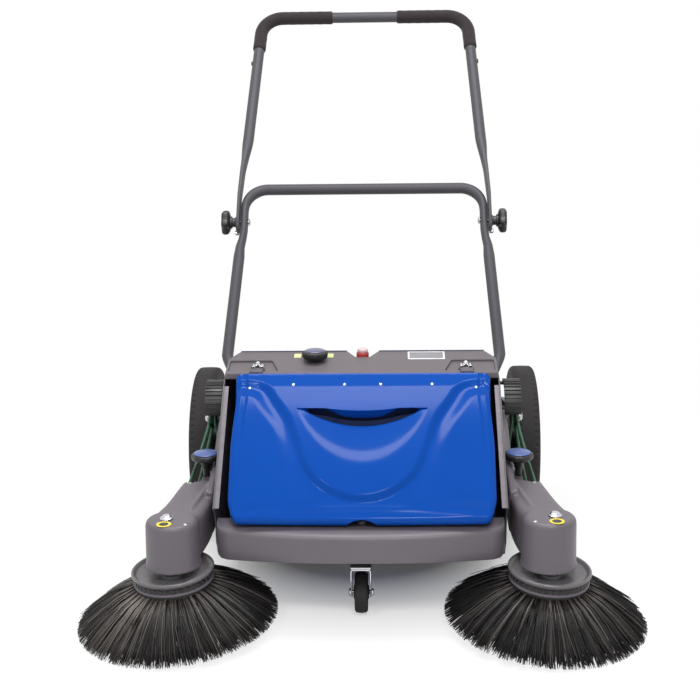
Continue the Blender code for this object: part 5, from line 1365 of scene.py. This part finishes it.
    def pulley(self) -> Piece:
        """The double idler on the arm's pivot."""
        rim = self.idler_radius + 0.0015
        grooves = self.grooved(self.rear_belt_x, self.idler_radius) + self.grooved(self.front_belt_x,
            self.idler_radius)
        loop = [(self.pin_bore, 0.2788), (rim - 0.0006, 0.2788), (rim, 0.2794), *grooves, (rim, 0.2956),
            (rim - 0.0006, 0.2962), (0.014, 0.2962), (0.0125, 0.2945), (0.01, 0.2945), (0.0095, 0.2962),
            (self.pin_bore, 0.2962)]
        place = (0, self.pivot_y, self.pivot_z)
        loop = np.array(loop) * (1, self.side)
        return Skin().turn(loop, 56, place, Along.X, closed=True).build("idler_pulley_" + self.tag, 30)

    def stud(self) -> Piece:
        """Pivot stud with its collar on the side plate and a domed end."""
        profile = [(0, 0.2493), (0.012, 0.2493), (0.012, 0.255), (0.0114, 0.2556), (0.006, 0.2556), (0.006, 0.2966),
            (0.0096, 0.2966), (0.01, 0.2972), (0.01, 0.3008), (0.0085, 0.303), (0.006, 0.3045), (0, 0.305)]
        profile = np.array(profile) * (1, self.side)
        place = (0, self.pivot_y, self.pivot_z)
        return Skin().turn(softened(profile, 0.0008, 4), 40, place, Along.X).build("arm_pivot_stud_" + self.tag)

    def adjuster(self) -> None:
        """Height adjuster: a lobed rim on a stem that rests on the arm stop, and a blue domed cap."""
        body, place = "adjuster_" + self.tag, (self.side * self.adjuster_x, self.adjuster_y, 0)
        rim = softened(tenths((0, 2333), (130, 2333), (170, 2340), (248, 2356), (262, 2372), (262, 2428), (252, 2452),
            (240, 2458), (222, 2459), (0, 2459)), 0.0012, 4)
        knob = Skin().turn(rim, 144, place, ripple=lambda a, h: 1 - 0.04 * (1 - np.abs(np.cos(3 * a))))
        stem = softened(tenths((0, 1420), (55, 1420), (60, 1430), (60, 2180), (78, 2190), (78, 2245), (96, 2255),
            (100, 2300), (130, 2330), (0, 2340)), 0.0008, 4)
        knob.turn(stem, 40, place)
        self.place(knob.build("adjuster_wheel_" + self.tag, 40), Looks.BLACK, body, "adjuster_knob_" + self.tag)
        dome = softened(tenths((0, 2461), (214, 2461), (217, 2470), (205, 2482), (150, 2499), (70, 2512), (0, 2515)),
            0.003, 6)
        cap = Skin().turn(dome, 72, place).build("adjuster_dome_" + self.tag, 40)
        self.place(cap, Looks.CAP, body, "adjuster_cap_" + self.tag)

    def build(self) -> None:
        """Make the arm, its belts, pulley, pivot, fittings and adjuster."""
        body = "arm_" + self.tag
        self.place(self.shell(), Looks.BODY, body, "arm_" + self.tag)
        self.fittings()
        self.place(self.front_belt(), Looks.BELT, body, "front_belt_" + self.tag)
        self.place(self.rear_belt(), Looks.BELT, "frame", "rear_belt_" + self.tag)
        self.place(self.pulley(), Looks.BLACK, "idler_" + self.tag, "idler_" + self.tag)
        self.place(self.stud(), Looks.STEEL, "frame", "arm_pivot_" + self.tag)
        self.adjuster()


@dataclass
class MainBroom(SubAssembly):
    """The cylindrical main broom: its sleeve and eight helical rows of bristles on the CAD core."""

    y: float = MAIN_AXIS[0]
    z: float = MAIN_AXIS[1]
    core: float = 0.056
    tip: float = 0.1315
    half: float = 0.224
    rows: int = 8
    tufts: int = 64
    strands: int = 9

    def bristles(self) -> Piece:
        """Strands in helical rows.

        A row's angle grows by one eighth of a turn from end to end. A strand runs outwards at its own angle, with a
        trailing bend that grows as the square of its share.
        """
        rng = np.random.default_rng(5)
        shape = (self.rows, self.tufts, self.strands)
        row, tuft, _ = np.indices(shape).reshape(3, -1)
        jitter = rng.normal(0, 1, (row.size, 5))
        along = (tuft + 0.5) / self.tufts
        angle = 2 * math.pi * (row + along) / self.rows + 0.04 * jitter[:, 0].clip(-2, 2)
        x = (2 * along - 1) * self.half + 0.0018 * jitter[:, 1].clip(-2, 2)
        reach = self.tip - 0.0004 - 0.0028 * np.abs(jitter[:, 2])
        share = np.linspace(0, 1, 4)[None, :]
        radius = self.core + 0.006 + (reach - self.core - 0.006)[:, None] * share
        turn = angle[:, None] + 0.045 * jitter[:, 3:4] * share + 0.05 * share ** 2
        lean = x[:, None] + 0.003 * jitter[:, 4:5] * share
        lean = np.clip(lean, -self.half - 0.002, self.half + 0.002)
        paths = np.stack((lean, self.y + radius * np.cos(turn), self.z + radius * np.sin(turn)), -1)
        tone = np.clip(0.35 + 0.3 * jitter[:, 4], 0, 1)
        return fibres("main_broom_tufts", paths, np.full(row.size, 0.00085), tone)

    def build(self) -> None:
        """Make the sleeve and its bristles, and dress the core, pinion and bearings."""
        low, high = self.core + 0.0034, self.core + 0.0066
        ends = self.half + 0.001
        ridges = Skin().turn(oblong(low, high, -ends, ends), 96, (0, self.y, self.z), Along.X, closed=True)
        self.place(self.bristles(), Looks.BRISTLE, "main_broom", "main_broom_bristles")
        self.place(ridges.build("main_broom_sleeve"), Looks.BLACK, "main_broom")
        self.dress(Looks.BLACK, "main_broom_core", "drive_pinion", "broom_bearing_right", "broom_bearing_left")


@dataclass
class Wheel(SubAssembly):
    """A road wheel: notched solid tyre, moulded centre with its belt sheave, stub axle and ring gear."""

    side: int
    tag: str
    y: float = WHEEL_AXIS[0]
    z: float = WHEEL_AXIS[1]
    radius: float = 0.155
    inner: float = 0.2975
    outer: float = 0.3455
    rim: float = 0.127
    stub: float = 0.0095
    sheave: float = WHEEL_SHEAVE
    belt_x: float = REAR_BELT_X
    plate: float = 0.249
    ribs: int = 72

    def ring(self, profile: Array, segments: int, closed: bool = True) -> Skin:
        """Turn a profile of (radius, x) about the axle, on this wheel's side."""
        return Skin().turn(np.asarray(profile) * (1, self.side), segments, (0, self.y, self.z), Along.X, closed)

    def tyre(self) -> Piece:
        """The tyre: a crowned section whose shoulders carry short cross ribs.

        The ribs take 1.4 mm off the radius in a narrow slot once in every 360 / ribs degrees, only where the section
        is within 10 mm of a shoulder, so the crown between them stays plain.
        """
        low, high = self.inner, self.outer
        bead, tread = self.rim + 0.0003, self.radius
        half = [(bead, low + 0.006), (bead + 0.003, low + 0.0016), (bead + 0.01, low), (tread - 0.013, low),
            (tread - 0.006, low + 0.0012), (tread - 0.002, low + 0.0046), (tread - 0.0006, low + 0.008),
            (tread - 0.0004, low + 0.012), (tread - 0.0002, low + 0.015), (tread, (low + high) / 2)]
        section = softened(half, 0.002, 4)
        mirror = section[-2::-1] * (1, -1) + (0, low + high)
        section = np.vstack((section, mirror))
        steps = self.ribs * 6
        angle = np.linspace(0, 2 * math.pi, steps, endpoint=False)[:, None]
        radius, x = section[None, :, 0], section[None, :, 1]
        edge = np.minimum(np.abs(x - low), np.abs(x - high))
        zone = ease(edge, 0.001, 0.003) * (1 - ease(edge, 0.011, 0.0125)) * (radius > tread - 0.008)
        slot = (np.arange(steps)[:, None] % 6 < 2) * 1.0
        reach = radius - 0.0015 * slot * zone
        x = np.broadcast_to(x * self.side, reach.shape)
        points = np.stack((x, self.y + reach * np.cos(angle), self.z + reach * np.sin(angle)), -1)
        return Skin().grid(points, rows=True).build("tyre_tread_" + self.tag, 30)

    def centre(self) -> Piece:
        """The moulded centre: grooved sheave, hub, dished web and rim."""
        low, high, bore = self.inner, self.outer, self.stub + 0.0003
        start, stop = self.belt_x - 0.006, self.belt_x + 0.006
        rim, floor = self.sheave + 0.0015, self.sheave - 0.0042
        loop = [(bore, start), (rim, start), (rim, self.belt_x - 0.0039), (floor, self.belt_x - 0.0022),
            (floor, self.belt_x + 0.0022), (rim, self.belt_x + 0.0039), (rim, stop), (0.04, low - 0.006),
            (0.04, low + 0.015), (0.112, low + 0.012), (0.115, low + 0.003), (self.rim, low + 0.006),
            (self.rim, high - 0.006), (0.115, high - 0.003), (0.112, low + 0.021), (0.026, low + 0.025),
            (0.026, high - 0.001), (bore, high - 0.001)]
        return self.ring(softened(loop, 0.0012, 4, True), 120).build("wheel_centre_" + self.tag, 34)

    def web_ribs(self) -> Piece:
        """Ten upright ribs between hub and rim on the outer face of the web."""
        skin = Skin()
        turn = 2 * math.pi * np.arange(10) / 10
        outline = softened(oblong(0.0255, 0.1125, 0.0019, -0.0019), 0.001, 3, True)
        low, high = self.inner + 0.0205, self.inner + 0.033
        spoke = np.stack([np.column_stack((outline, np.full(len(outline), x))) for x in (low, high)])
        c, s = np.cos(turn)[:, None, None], np.sin(turn)[:, None, None]
        r, a, x = spoke[None, ..., 0], spoke[None, ..., 1], np.broadcast_to(spoke[None, ..., 2],
            (10, 2, len(outline)))
        points = np.stack((x * self.side, self.y + r * c - a * s, self.z + r * s + a * c), -1)
        return skin.grid(points, caps=True).build("wheel_ribs_" + self.tag)

    def axle(self) -> Piece:
        """Stub axle with its flange, a washer and a domed end nut."""
        profile = [(0, self.plate + 0.0003), (0.022, self.plate + 0.0003), (0.022, 0.2545), (0.021, 0.2555),
            (0.014, 0.26), (self.stub, 0.2606), (self.stub, self.outer - 0.002),
            (self.stub - 0.0012, self.outer - 0.0006), (0, self.outer - 0.0005)]
        return self.ring(softened(profile, 0.0006, 3), 48, False).build("wheel_axle_" + self.tag)

    def build(self) -> None:
        """Make the wheel and its axle, and dress the ring gear on the left."""
        body = "wheel_" + self.tag
        self.place(self.tyre(), Looks.TYRE, body, "tyre_" + self.tag)
        self.place(self.centre(), Looks.BLACK, body, "wheel_rim_" + self.tag)
        self.place(self.web_ribs(), Looks.BLACK, body)
        self.place(self.axle(), Looks.STEEL, "frame", "stub_axle_" + self.tag)
        if self.side < 0:
            self.dress(Looks.BLACK, "ring_gear")


@dataclass
class Handle(SubAssembly):
    """The handle: a fixed lower loop, the folding upper bow, its foam grips, clamp bolts and hand knobs."""

    foot: tuple[float, float, float] = (0.253, -0.006, 0.35)
    loop_tube: float = 0.0112
    loop_top_z: float = 0.661
    loop_top_x: float = 0.2425
    top_y: float = 0.5503
    top_z: float = 1.005
    top_x: float = 0.2262
    straight_z: float = 0.756
    straight_x: float = 0.2452
    tube: float = 0.0114
    loop_bend: float = 0.046
    grip_bend: float = 0.048
    clamp_y: float = 0.208
    clamp_z: float = 0.601
    strap_x: float = 0.2572
    strap: float = 0.0035
    bore: float = 0.0045
    grip: float = 0.0142
    grip_gap: float = 0.071
    grip_drop: float = 0.068

    def at(self, z: float, x: float) -> Array:
        """The point of the handle's slanting line at a height z, moved out to x."""
        share = (z - self.foot[2]) / (self.top_z - self.foot[2])
        return np.array([x, self.foot[1] + (self.top_y - self.foot[1]) * share, z])

    @property
    def level(self) -> Array:
        """Normal of the plane that the whole handle lies in."""
        return unit(np.cross(self.at(1.0, 0) - self.at(0.4, 0), (1, 0, 0)))

    def bow(self, flat: list, bend: list, radius: float, ends: Array, tube: float, pressed: Array) -> Skin:
        """A bent tube whose two legs are pressed flat at their ends.

        Half the path is the flat points and then arcs round the bend, and the other half is its mirror in X. The half
        sizes blend from the flat ones to the tube's radius with a smooth step along the first stretch above the flat.

        Args:
            flat: Points of the pressed end, from its tip.
            bend: Points of the round part, up to its corner.
            radius: Radius of the corner.
            ends: Half thickness and half width of each flat point.
            tube: Radius of the round tube.
            pressed: Rows of height and half thickness, where the tube's sides are pressed in.

        Returns:
            The skin.
        """
        lead = np.array(flat)
        blend_steps = np.linspace(0, 1, 9)[1:-1, None]
        transition = lead[-1] + (bend[0] - lead[-1]) * blend_steps
        shares = ease(blend_steps)
        sizes = ends[-1] + (np.full(2, tube) - ends[-1]) * shares
        power = 0.34 + 0.66 * shares[:, 0]
        corner = bent([*bend[-2:], bend[-1] * (0, 1, 1)], radius, 16)
        half = np.vstack((np.reshape(bend[:-2], (-1, 3)), corner))
        path = np.vstack((lead, transition, half[:-1]))
        round_sizes = np.full((len(half) - 1, 2), tube)
        round_sizes[:, 0] = np.interp(half[:-1, 2], pressed[:, 0], pressed[:, 1], tube, tube)
        sizes = np.vstack((ends, sizes, round_sizes))
        power = np.concatenate((np.full(len(lead), 0.34), power, np.ones(len(half) - 1)))
        path = np.vstack((path, mirrored(path[::-1], -1)))
        return Skin().tube(path, np.vstack((sizes, sizes[::-1])), 28, self.level, squared=np.r_[power, power[::-1]])

    def bored(self, piece: Piece, low: float, high: float) -> Piece:
        """Drill the clamp bolts' holes through a bow, from low to high along X on both sides."""
        for side, _ in SIDES:
            bar = oblong(0, self.bore, low, high) * (1, side)
            carve(piece, Skin().turn(bar, 28, (0, self.clamp_y, self.clamp_z), Along.X))
        smooth(piece, 40)
        return piece

    def lower(self) -> Piece:
        """The fixed loop, flattened and bolted to the side plates at its feet, with the clamp bolts' holes."""
        foot_x = 0.2525
        flat = [self.at(z, foot_x) for z in (0.2885, 0.2892, 0.293, 0.322)] + [self.at(0.334, foot_x + 0.0012)]
        ends = np.array(tenths((24, 110), (30, 135), (30, 168), (30, 170), (34, 166)))
        low, high = self.at(0.37, 0.2642), self.at(0.556, 0.2508)
        bend = [*(low + (high - low) * np.linspace(0, 1, 12)[:, None]), *(self.at(z, x) for z, x in ((0.571, 0.2466),
            (0.586, 0.2448), (0.61, 0.2447), (0.62, 0.2448), (self.loop_top_z, self.loop_top_x)))]
        pressed = np.array([(0.548, self.loop_tube), (0.562, 0.008), (0.624, 0.008), (0.654, self.loop_tube)])
        skin = self.bow(flat, bend, self.loop_bend, ends, self.loop_tube, pressed)
        return self.bored(skin.build("lower_loop_tube", 40), 0.2, 0.28)

    def upper(self) -> Piece:
        """The folding bow, flattened to straps at its clamps."""
        x = self.strap_x
        flat = [self.at(z, x) for z in (0.585, 0.5858, 0.5905, 0.599, 0.648)] + [self.at(0.696, x - 0.0038)]
        ends = np.array([(0.0028, 0.006), (self.strap, 0.01), (self.strap, 0.0145), (self.strap, 0.0165),
            (self.strap, 0.0165), (self.strap + 0.0008, 0.0162)])
        bend = [self.at(self.straight_z, self.straight_x), self.at(self.top_z, self.top_x)]
        round_all = np.array([(0.0, self.tube), (2.0, self.tube)])
        skin = self.bow(flat, bend, self.grip_bend, ends, self.tube, round_all)
        return self.bored(skin.build("upper_bow_tube", 40), 0.25, 0.27)

    def foam(self, side: int, tag: str) -> Piece:
        """One foam grip round the corner of the bow, with rounded lips at both ends and faint rings of handling."""
        low = self.top_z - self.grip_drop
        low_x = np.interp(low, (self.straight_z, self.top_z), (self.straight_x, self.top_x))
        corner = bent([self.at(low, low_x), self.at(self.top_z, self.top_x), self.at(self.top_z, self.grip_gap)],
            self.grip_bend, 30)
        line = [corner[0] + (corner[1] - corner[0]) * f for f in (0.0, 0.05, 0.12, 0.25, 0.5, 0.75)]
        tail = [corner[-2] + (corner[-1] - corner[-2]) * f for f in np.r_[np.linspace(0.05, 0.95, 20), 0.985, 1.0]]
        path = mirrored(np.vstack((line, corner[1:-1], tail)), side)
        ahead = unit(np.gradient(path, axis=0))
        out = unit(np.cross(self.level, ahead))
        run = np.concatenate(([0], np.cumsum(np.linalg.norm(np.diff(path, axis=0), axis=1))))
        edge = np.clip(np.minimum(run, run[-1] - run) / 0.003, 0, 1)
        radius = self.grip - 0.0022 * (1 - np.sqrt(1 - (1 - edge) ** 2)) - 0.00018 * (1 + np.sin(run * 900))
        angle = 2 * math.pi * np.arange(36) / 36
        spokes = out[:, None] * np.cos(angle)[:, None] + self.level * np.sin(angle)[:, None]
        outer = path[:, None] + spokes * radius[:, None, None]
        inner = path[:, None] + spokes * (self.tube + 0.0003)
        loop = np.concatenate((outer, inner[::-1]))
        return Skin().grid(loop, rows=True).build("foam_grip_" + tag, 50)

    def knob(self, side: int, tag: str) -> Piece:
        """Black lobed hand knob on a two-step hub, with a ribbed collar against the strap."""
        place = (0, self.clamp_y, self.clamp_z)
        r = 0.026
        hub = [(self.bore, 0.2611), (0.011, 0.2611), (0.011, 0.2632), (0.0094, 0.2638), (0.0094, 0.2692),
            (0.0125, 0.2698), (0.013, 0.273), (0.015, 0.2742), (self.bore, 0.2756)]
        skin = Skin().turn(np.array(hub) * (1, side), 96, place, Along.X, True, lambda a,
            h: 1 - 0.03 * (np.abs(h) < 0.2692) * (np.cos(24 * a) > 0))
        disc = softened([(0, 0.2728), (0.014, 0.2728), (r * 0.88, 0.2754), (r, 0.2786), (r, 0.2866), (r * 0.9, 0.29),
            (r * 0.55, 0.2908), (0, 0.291)], 0.0022, 5)
        skin.turn(disc * (1, side), 144, place, Along.X, ripple=lambda a, h: 1 - 0.15 * (0.5 - 0.5 * np.cos(6 * a)))
        return skin.build("clamp_hand_knob_" + tag, 42)

    def bolt(self, side: int, tag: str) -> Piece:
        """Clamp bolt: domed head inside the loop, and its shank through loop and strap."""
        profile = tenths((0, 2322), (40, 2325), (68, 2340), (80, 2357), (40, 2358), (40, 2720), (0, 2722))
        place = (0, self.clamp_y, self.clamp_z)
        skin = Skin().turn(softened(profile, 0.0006, 3) * (1, side), 36, place, Along.X)
        return skin.build("clamp_carriage_bolt_" + tag)

    def trims(self) -> None:
        """Nuts at the flattened feet, a stop stud at each clamp and a button on each leg of the bow."""
        feet, studs, buttons, leg_z = Skin(), Skin(), Skin(), 0.91
        x = float(np.interp(leg_z, (self.straight_z, self.top_z), (self.straight_x, self.top_x))) + self.tube
        nut = softened(tenths((0, 2556), (85, 2556), (85, 2566), (62, 2568), (60, 2606), (40, 2622), (0, 2626)),
            0.0005, 3)
        stud = softened(tenths((0, 2560), (52, 2560), (52, 2640), (40, 2648), (0, 2650)), 0.0005, 3)
        button = softened([(0, x - 0.002), (0.0052, x - 0.002), (0.0052, x + 0.0012), (0.0034, x + 0.0026),
            (0, x + 0.0028)], 0.0008, 4)
        for side, _ in SIDES:
            for z in (0.2975, 0.321):
                feet.turn(nut * (1, side), 48, tuple(self.at(z, 0)), Along.X, ripple=lambda a,
                    h: 1 - 0.07 * np.abs(np.sin(3 * a)) * (np.abs(h) > 0.2567))
            studs.turn(stud * (1, side), 32, (0, self.clamp_y - 0.002, self.clamp_z - 0.0215), Along.X)
            buttons.turn(button * (1, side), 32, tuple(self.at(leg_z, 0)), Along.X)
        self.place(feet.build("foot_nuts"), Looks.STEEL, "frame")
        self.place(studs.build("clamp_stop_studs"), Looks.CHROME, "frame")
        self.place(buttons.build("bow_leg_buttons"), Looks.BLACK, "upper_handle")

    def build(self) -> None:
        """Make both bows, the grips, bolts and knobs."""
        self.place(self.lower(), Looks.TUBE, "frame", "lower_handle")
        self.place(self.upper(), Looks.TUBE, "upper_handle", "upper_handle")
        for side, tag in SIDES:
            self.place(self.foam(side, tag), Looks.FOAM, "upper_handle", "grip_" + tag)
            self.place(self.bolt(side, tag), Looks.STEEL, "upper_handle", "clamp_bolt_" + tag)
            self.place(self.knob(side, tag), Looks.BLACK, "clamp_knob_" + tag, "clamp_knob_" + tag)
        self.trims()


@dataclass
class Caster(SubAssembly):
    """The swivelling front caster: bright strap fork, axle bolt and rubber wheel."""

    y: float = -0.343
    trail: float = 0.02
    radius: float = 0.0362
    half: float = 0.0115

    def fork(self) -> Piece:
        """Strap fork: an upturned U whose legs taper to the axle.

        The U is a path in the XZ plane, swept with a section that is 2.5 mm thick and whose width and middle follow
        the leg: wide at the race and narrow at the axle, where it has trailed back.
        """
        axis = self.y - self.trail
        line = softened(tenths((-166, 278), (-166, 938), (166, 938), (166, 278)), 0.004, 8)
        line = np.vstack([line[:1], line[0] + (line[1] - line[0]) * np.linspace(0.08, 0.92, 12)[:, None], line[1:-1],
            line[-2] + (line[-1] - line[-2]) * np.linspace(0.08, 0.92, 12)[:, None], line[-1:]])
        share = ease(line[:, 1], 0.03, 0.074)
        middle = axis + self.trail * (1 - share) + 0.002 * share
        wide = 0.01 + 0.011 * share
        wide = wide * np.sqrt(np.clip((line[:, 1] - 0.0268) / 0.0085, 0.12, 1))
        path = np.column_stack((line[:, 0], middle, line[:, 1]))
        flat = path * (1, 0, 1)
        skin = Skin().tube(flat, np.column_stack((np.full(len(path), 0.00125), wide)), 24, (0, 1, 0), squared=0.3)
        skin.points[-1] = (skin.points[-1].reshape(len(path), 24, 3) + (path * (0, 1, 0))[:, None]).reshape(-1, 3)
        race = softened(tenths((0, 948), (130, 948), (140, 955), (130, 962), (0, 962)), 0.0004, 3)
        skin.turn(race, 56, (0, axis, 0))
        return skin.build("caster_strap_fork", 40)

    def axle(self) -> Piece:
        """Axle bolt: a large domed head on the left and a lock nut on the right."""
        place = (0, self.y, self.radius)
        bolt = tenths((0, -226), (40, -222), (66, -208), (72, -182), (40, -181), (40, 181), (62, 181), (62, 205),
            (40, 222), (0, 225))
        return Skin().turn(softened(bolt, 0.0008, 4), 40, place, Along.X).build("caster_axle_bolt")

    def wheel(self) -> Piece:
        """Rubber wheel with a crowned tread, a moulding seam and a hub."""
        r, half = self.radius, self.half
        loop = [(0.0045, -0.0135), (0.011, -0.0135), (0.012, -0.0125), (0.013, -half + 0.002), (0.022, -half + 0.003),
            (r - 0.0085, -half + 0.0008), (r - 0.0045, -half), (r - 0.0012, -half + 0.0028), (r - 0.0003, -0.003),
            (r - 0.0002, -0.0008), (r, -0.0003)]
        mirror = [(a, -b) for a, b in loop[::-1]]
        skin = Skin().turn(softened(loop + mirror, 0.0008, 4, True), 96, (0, self.y, r), Along.X, closed=True)
        return skin.build("caster_tyre", 34)

    def build(self) -> None:
        """Make the fork, the axle bolt and the wheel."""
        self.place(self.fork(), Looks.CHROME, "caster_fork", "caster_fork")
        self.place(self.axle(), Looks.CHROME, "caster_fork", "caster_axle")
        self.place(self.wheel(), Looks.TYRE, "caster_wheel", "caster_wheel")


@dataclass
class Controls(SubAssembly):
    """The controls on the cover: the main broom's height knob and the sprung thumb catch."""

    knob_x: float = -0.086
    knob_y: float = -0.118
    knob_z: float = 0.3931
    knob_radius: float = 0.0235
    catch_x: float = 0.001
    catch_y: float = -0.088
    catch_radius: float = 0.0116

    def knob(self) -> None:
        """The height knob: black ribbed rim, stem, and a grey-blue dome set in its top."""
        r, z = self.knob_radius, self.knob_z
        place = (self.knob_x, self.knob_y, z)
        rim = softened([(0, 0.0045), (0.018, 0.0045), (r * 0.88, 0.0054), (r, 0.0088), (r, 0.0156),
            (r * 0.93, 0.0182), (r * 0.8, 0.0188), (0, 0.0188)], 0.0016, 4)
        skin = Skin().turn(rim, 240, place, ripple=lambda a, h: 1 - 0.034 * (np.cos(40 * a) > 0.25))
        stem = softened(tenths((0, 22), (100, 22), (100, 42), (110, 48), (0, 50)), 0.0006, 4)
        skin.turn(stem, 40, place)
        self.place(skin.build("height_knob_rim", 42), Looks.BLACK, "height_knob", "height_knob")
        dome = softened(tenths((0, 182), (182, 182), (184, 196), (160, 212), (90, 222), (0, 225)), 0.003, 6)
        self.place(Skin().turn(dome, 64, place).build("height_knob_dome"), Looks.DOME, "height_knob")

    def catch(self) -> None:
        """The thumb catch: red body with a pale top."""
        r = self.catch_radius
        place = (self.catch_x, self.catch_y, 0)
        base = softened([(0, 0.3856), (r, 0.3856), (r, 0.399), (r - 0.0004, 0.401), (r - 0.0012, 0.4022),
            (0, 0.4022)], 0.0008, 4)
        self.place(Skin().turn(base, 48, place).build("thumb_catch_body"), Looks.RED, "thumb_catch", "thumb_catch")
        top = softened(tenths((0, 4020), (98, 4020), (100, 4060), (94, 4080), (70, 4094), (0, 4098)), 0.002, 5)
        self.place(Skin().turn(top, 48, place).build("thumb_catch_top"), Looks.PINK, "thumb_catch")

    def build(self) -> None:
        """Make the knob and the catch."""
        self.knob()
        self.catch()


@dataclass
class Studio:
    """The floor, the soft lights and the camera."""

    focal: float = 66.857
    sensor: float = 36.0
    camera_at: tuple[float, float, float] = (0.0508, -2.4312, 1.006)
    tilt: float = 14.36
    yaw: float = -1.79
    roll: float = -0.75
    floor_size: float = 14.0
    floor_colour: tuple[float, float, float] = (0.93, 0.93, 0.93)
    ambient: float = 0.56
    under_glow: float = 0.05
    near_glow: float = 0.78

    def camera(self) -> None:
        """Place the camera: forward (0, cos t, -sin t) turned by the yaw, then rolled about itself."""
        t, w, r = (math.radians(a) for a in (self.tilt, self.yaw, self.roll))
        turn = np.array([(math.cos(w), math.sin(w), 0), (-math.sin(w), math.cos(w), 0), (0, 0, 1)])
        forward = turn @ (0, math.cos(t), -math.sin(t))
        up, right = turn @ (0, math.sin(t), math.cos(t)), turn @ (1, 0, 0)
        across = math.cos(r) * right + math.sin(r) * up
        above = -math.sin(r) * right + math.cos(r) * up
        lens = bpy.data.cameras.new("photo_camera")
        lens.sensor_width, lens.lens, lens.sensor_fit = self.sensor, self.focal, "HORIZONTAL"
        lens.clip_end = 60.0
        eye = bpy.data.objects.new("photo_camera", lens)
        eye.matrix_world = Matrix.Translation(self.camera_at) @ Matrix(np.column_stack((across, above,
            -forward)).tolist()).to_4x4()
        bpy.context.scene.collection.objects.link(eye)
        bpy.context.scene.camera = eye

    def floor(self) -> None:
        """A plain pale floor that turns, for the camera alone, into the white background away from the machine."""
        half = self.floor_size
        grid = [[(-half, -half, 0), (half, -half, 0)], [(-half, half, 0), (half, half, 0)]]
        piece = Skin().grid(np.array(grid), columns=False).build("studio_floor")
        made = bpy.data.materials.new("studio_floor")
        made.use_nodes = True
        tree = made.node_tree
        tree.nodes.clear()
        shader = node(tree, "BsdfPrincipled", {"Base Color": (*self.floor_colour, 1.0), "Roughness": 0.9,
            "Specular IOR Level": 0.1})
        far = node(tree, "VectorMath", {0: node(tree, "TexCoord").outputs["Object"]},
            operation="LENGTH").outputs["Value"]
        path = tree.nodes.new("ShaderNodeLightPath")
        glowing = maths(tree, "ADD", span(tree, far, 0.2, 0.44, self.under_glow, self.near_glow),
            span(tree, far, 0.44, 1.8, 0.0, 1.0 - self.near_glow))
        share = maths(tree, "MULTIPLY", glowing, path.outputs["Is Camera Ray"])
        glow = node(tree, "Emission", {"Color": (1, 1, 1, 1), "Strength": 1.0})
        mixed = node(tree, "MixShader", {0: share, 1: shader.outputs[0], 2: glow.outputs[0]})
        output = tree.nodes.new("ShaderNodeOutputMaterial")
        tree.links.new(mixed.outputs[0], output.inputs["Surface"])
        piece.data.materials.append(made)

    def softbox(self, name: str, place: tuple, aim: tuple, size: tuple, power: float) -> None:
        """One rectangular area lamp at a place, aimed at a point."""
        lamp = bpy.data.lights.new(name, "AREA")
        lamp.shape, lamp.size, lamp.size_y, lamp.energy = "RECTANGLE", size[0], size[1], power
        piece = bpy.data.objects.new(name, lamp)
        direction = Vector(aim) - Vector(place)
        piece.matrix_world = Matrix.Translation(place) @ direction.to_track_quat("-Z", "Y").to_matrix().to_4x4()
        bpy.context.scene.collection.objects.link(piece)

    def world(self) -> None:
        """White for camera, glossy and transmission rays, and an even grey for the rest."""
        scene_world = bpy.data.worlds.new("studio_world")
        bpy.context.scene.world = scene_world
        scene_world.use_nodes = True
        tree = scene_world.node_tree
        tree.nodes.clear()
        path = tree.nodes.new("ShaderNodeLightPath")
        seen = maths(tree, "MAXIMUM", path.outputs["Is Camera Ray"], path.outputs["Is Glossy Ray"])
        seen = maths(tree, "MAXIMUM", seen, path.outputs["Is Transmission Ray"])
        glow = node(tree, "Background", {"Color": (1, 1, 1, 1), "Strength": span(tree, seen, 0.0, 1.0, self.ambient)})
        output = tree.nodes.new("ShaderNodeOutputWorld")
        tree.links.new(glow.outputs[0], output.inputs["Surface"])

    def build(self) -> None:
        """Set the stage."""
        self.camera()
        self.floor()
        self.world()
        self.softbox("key_softbox", (0.35, -2.4, 2.5), (0.0, -0.2, 0.25), (0.8, 0.6), 33.0)
        self.softbox("glint_softbox", (-1.25, -2.0, 2.2), (0.0, -0.3, 0.25), (0.22, 0.18), 10.0)
        self.softbox("overhead_softbox", (0.0, -0.1, 2.5), (0.0, -0.1, 0.0), (1.7, 0.6), 42.0)
        view = bpy.context.scene.view_settings
        view.view_transform = "Standard"


def write_size() -> None:
    """Holds a helper that turns a box into nested lists of floats; nothing is kept."""
    def plain(box: object) -> list:
        """A box as nested lists of floats."""
        return [[float(value) for value in corner] for corner in box]


def main() -> None:
    """Build the stage and every sub-assembly in order."""
    logging.basicConfig(level=logging.INFO, format="%(name)s: %(message)s")
    Studio().build()
    parts = [Chassis(), Hopper(), MainBroom(), Handle(), Caster(), Controls()]
    for side, tag in SIDES:
        high = 0.2 if side > 0 else 0.1955
        parts += [Wheel(side, tag), SideArm(side, tag, head_high=high), SideBroom(side, tag, bolt_z=high + 0.0016)]
    for part in parts:
        part.build()
        log.info("%s is built", type(part).__name__)
    write_size()


if __name__ == "__main__":
    main()
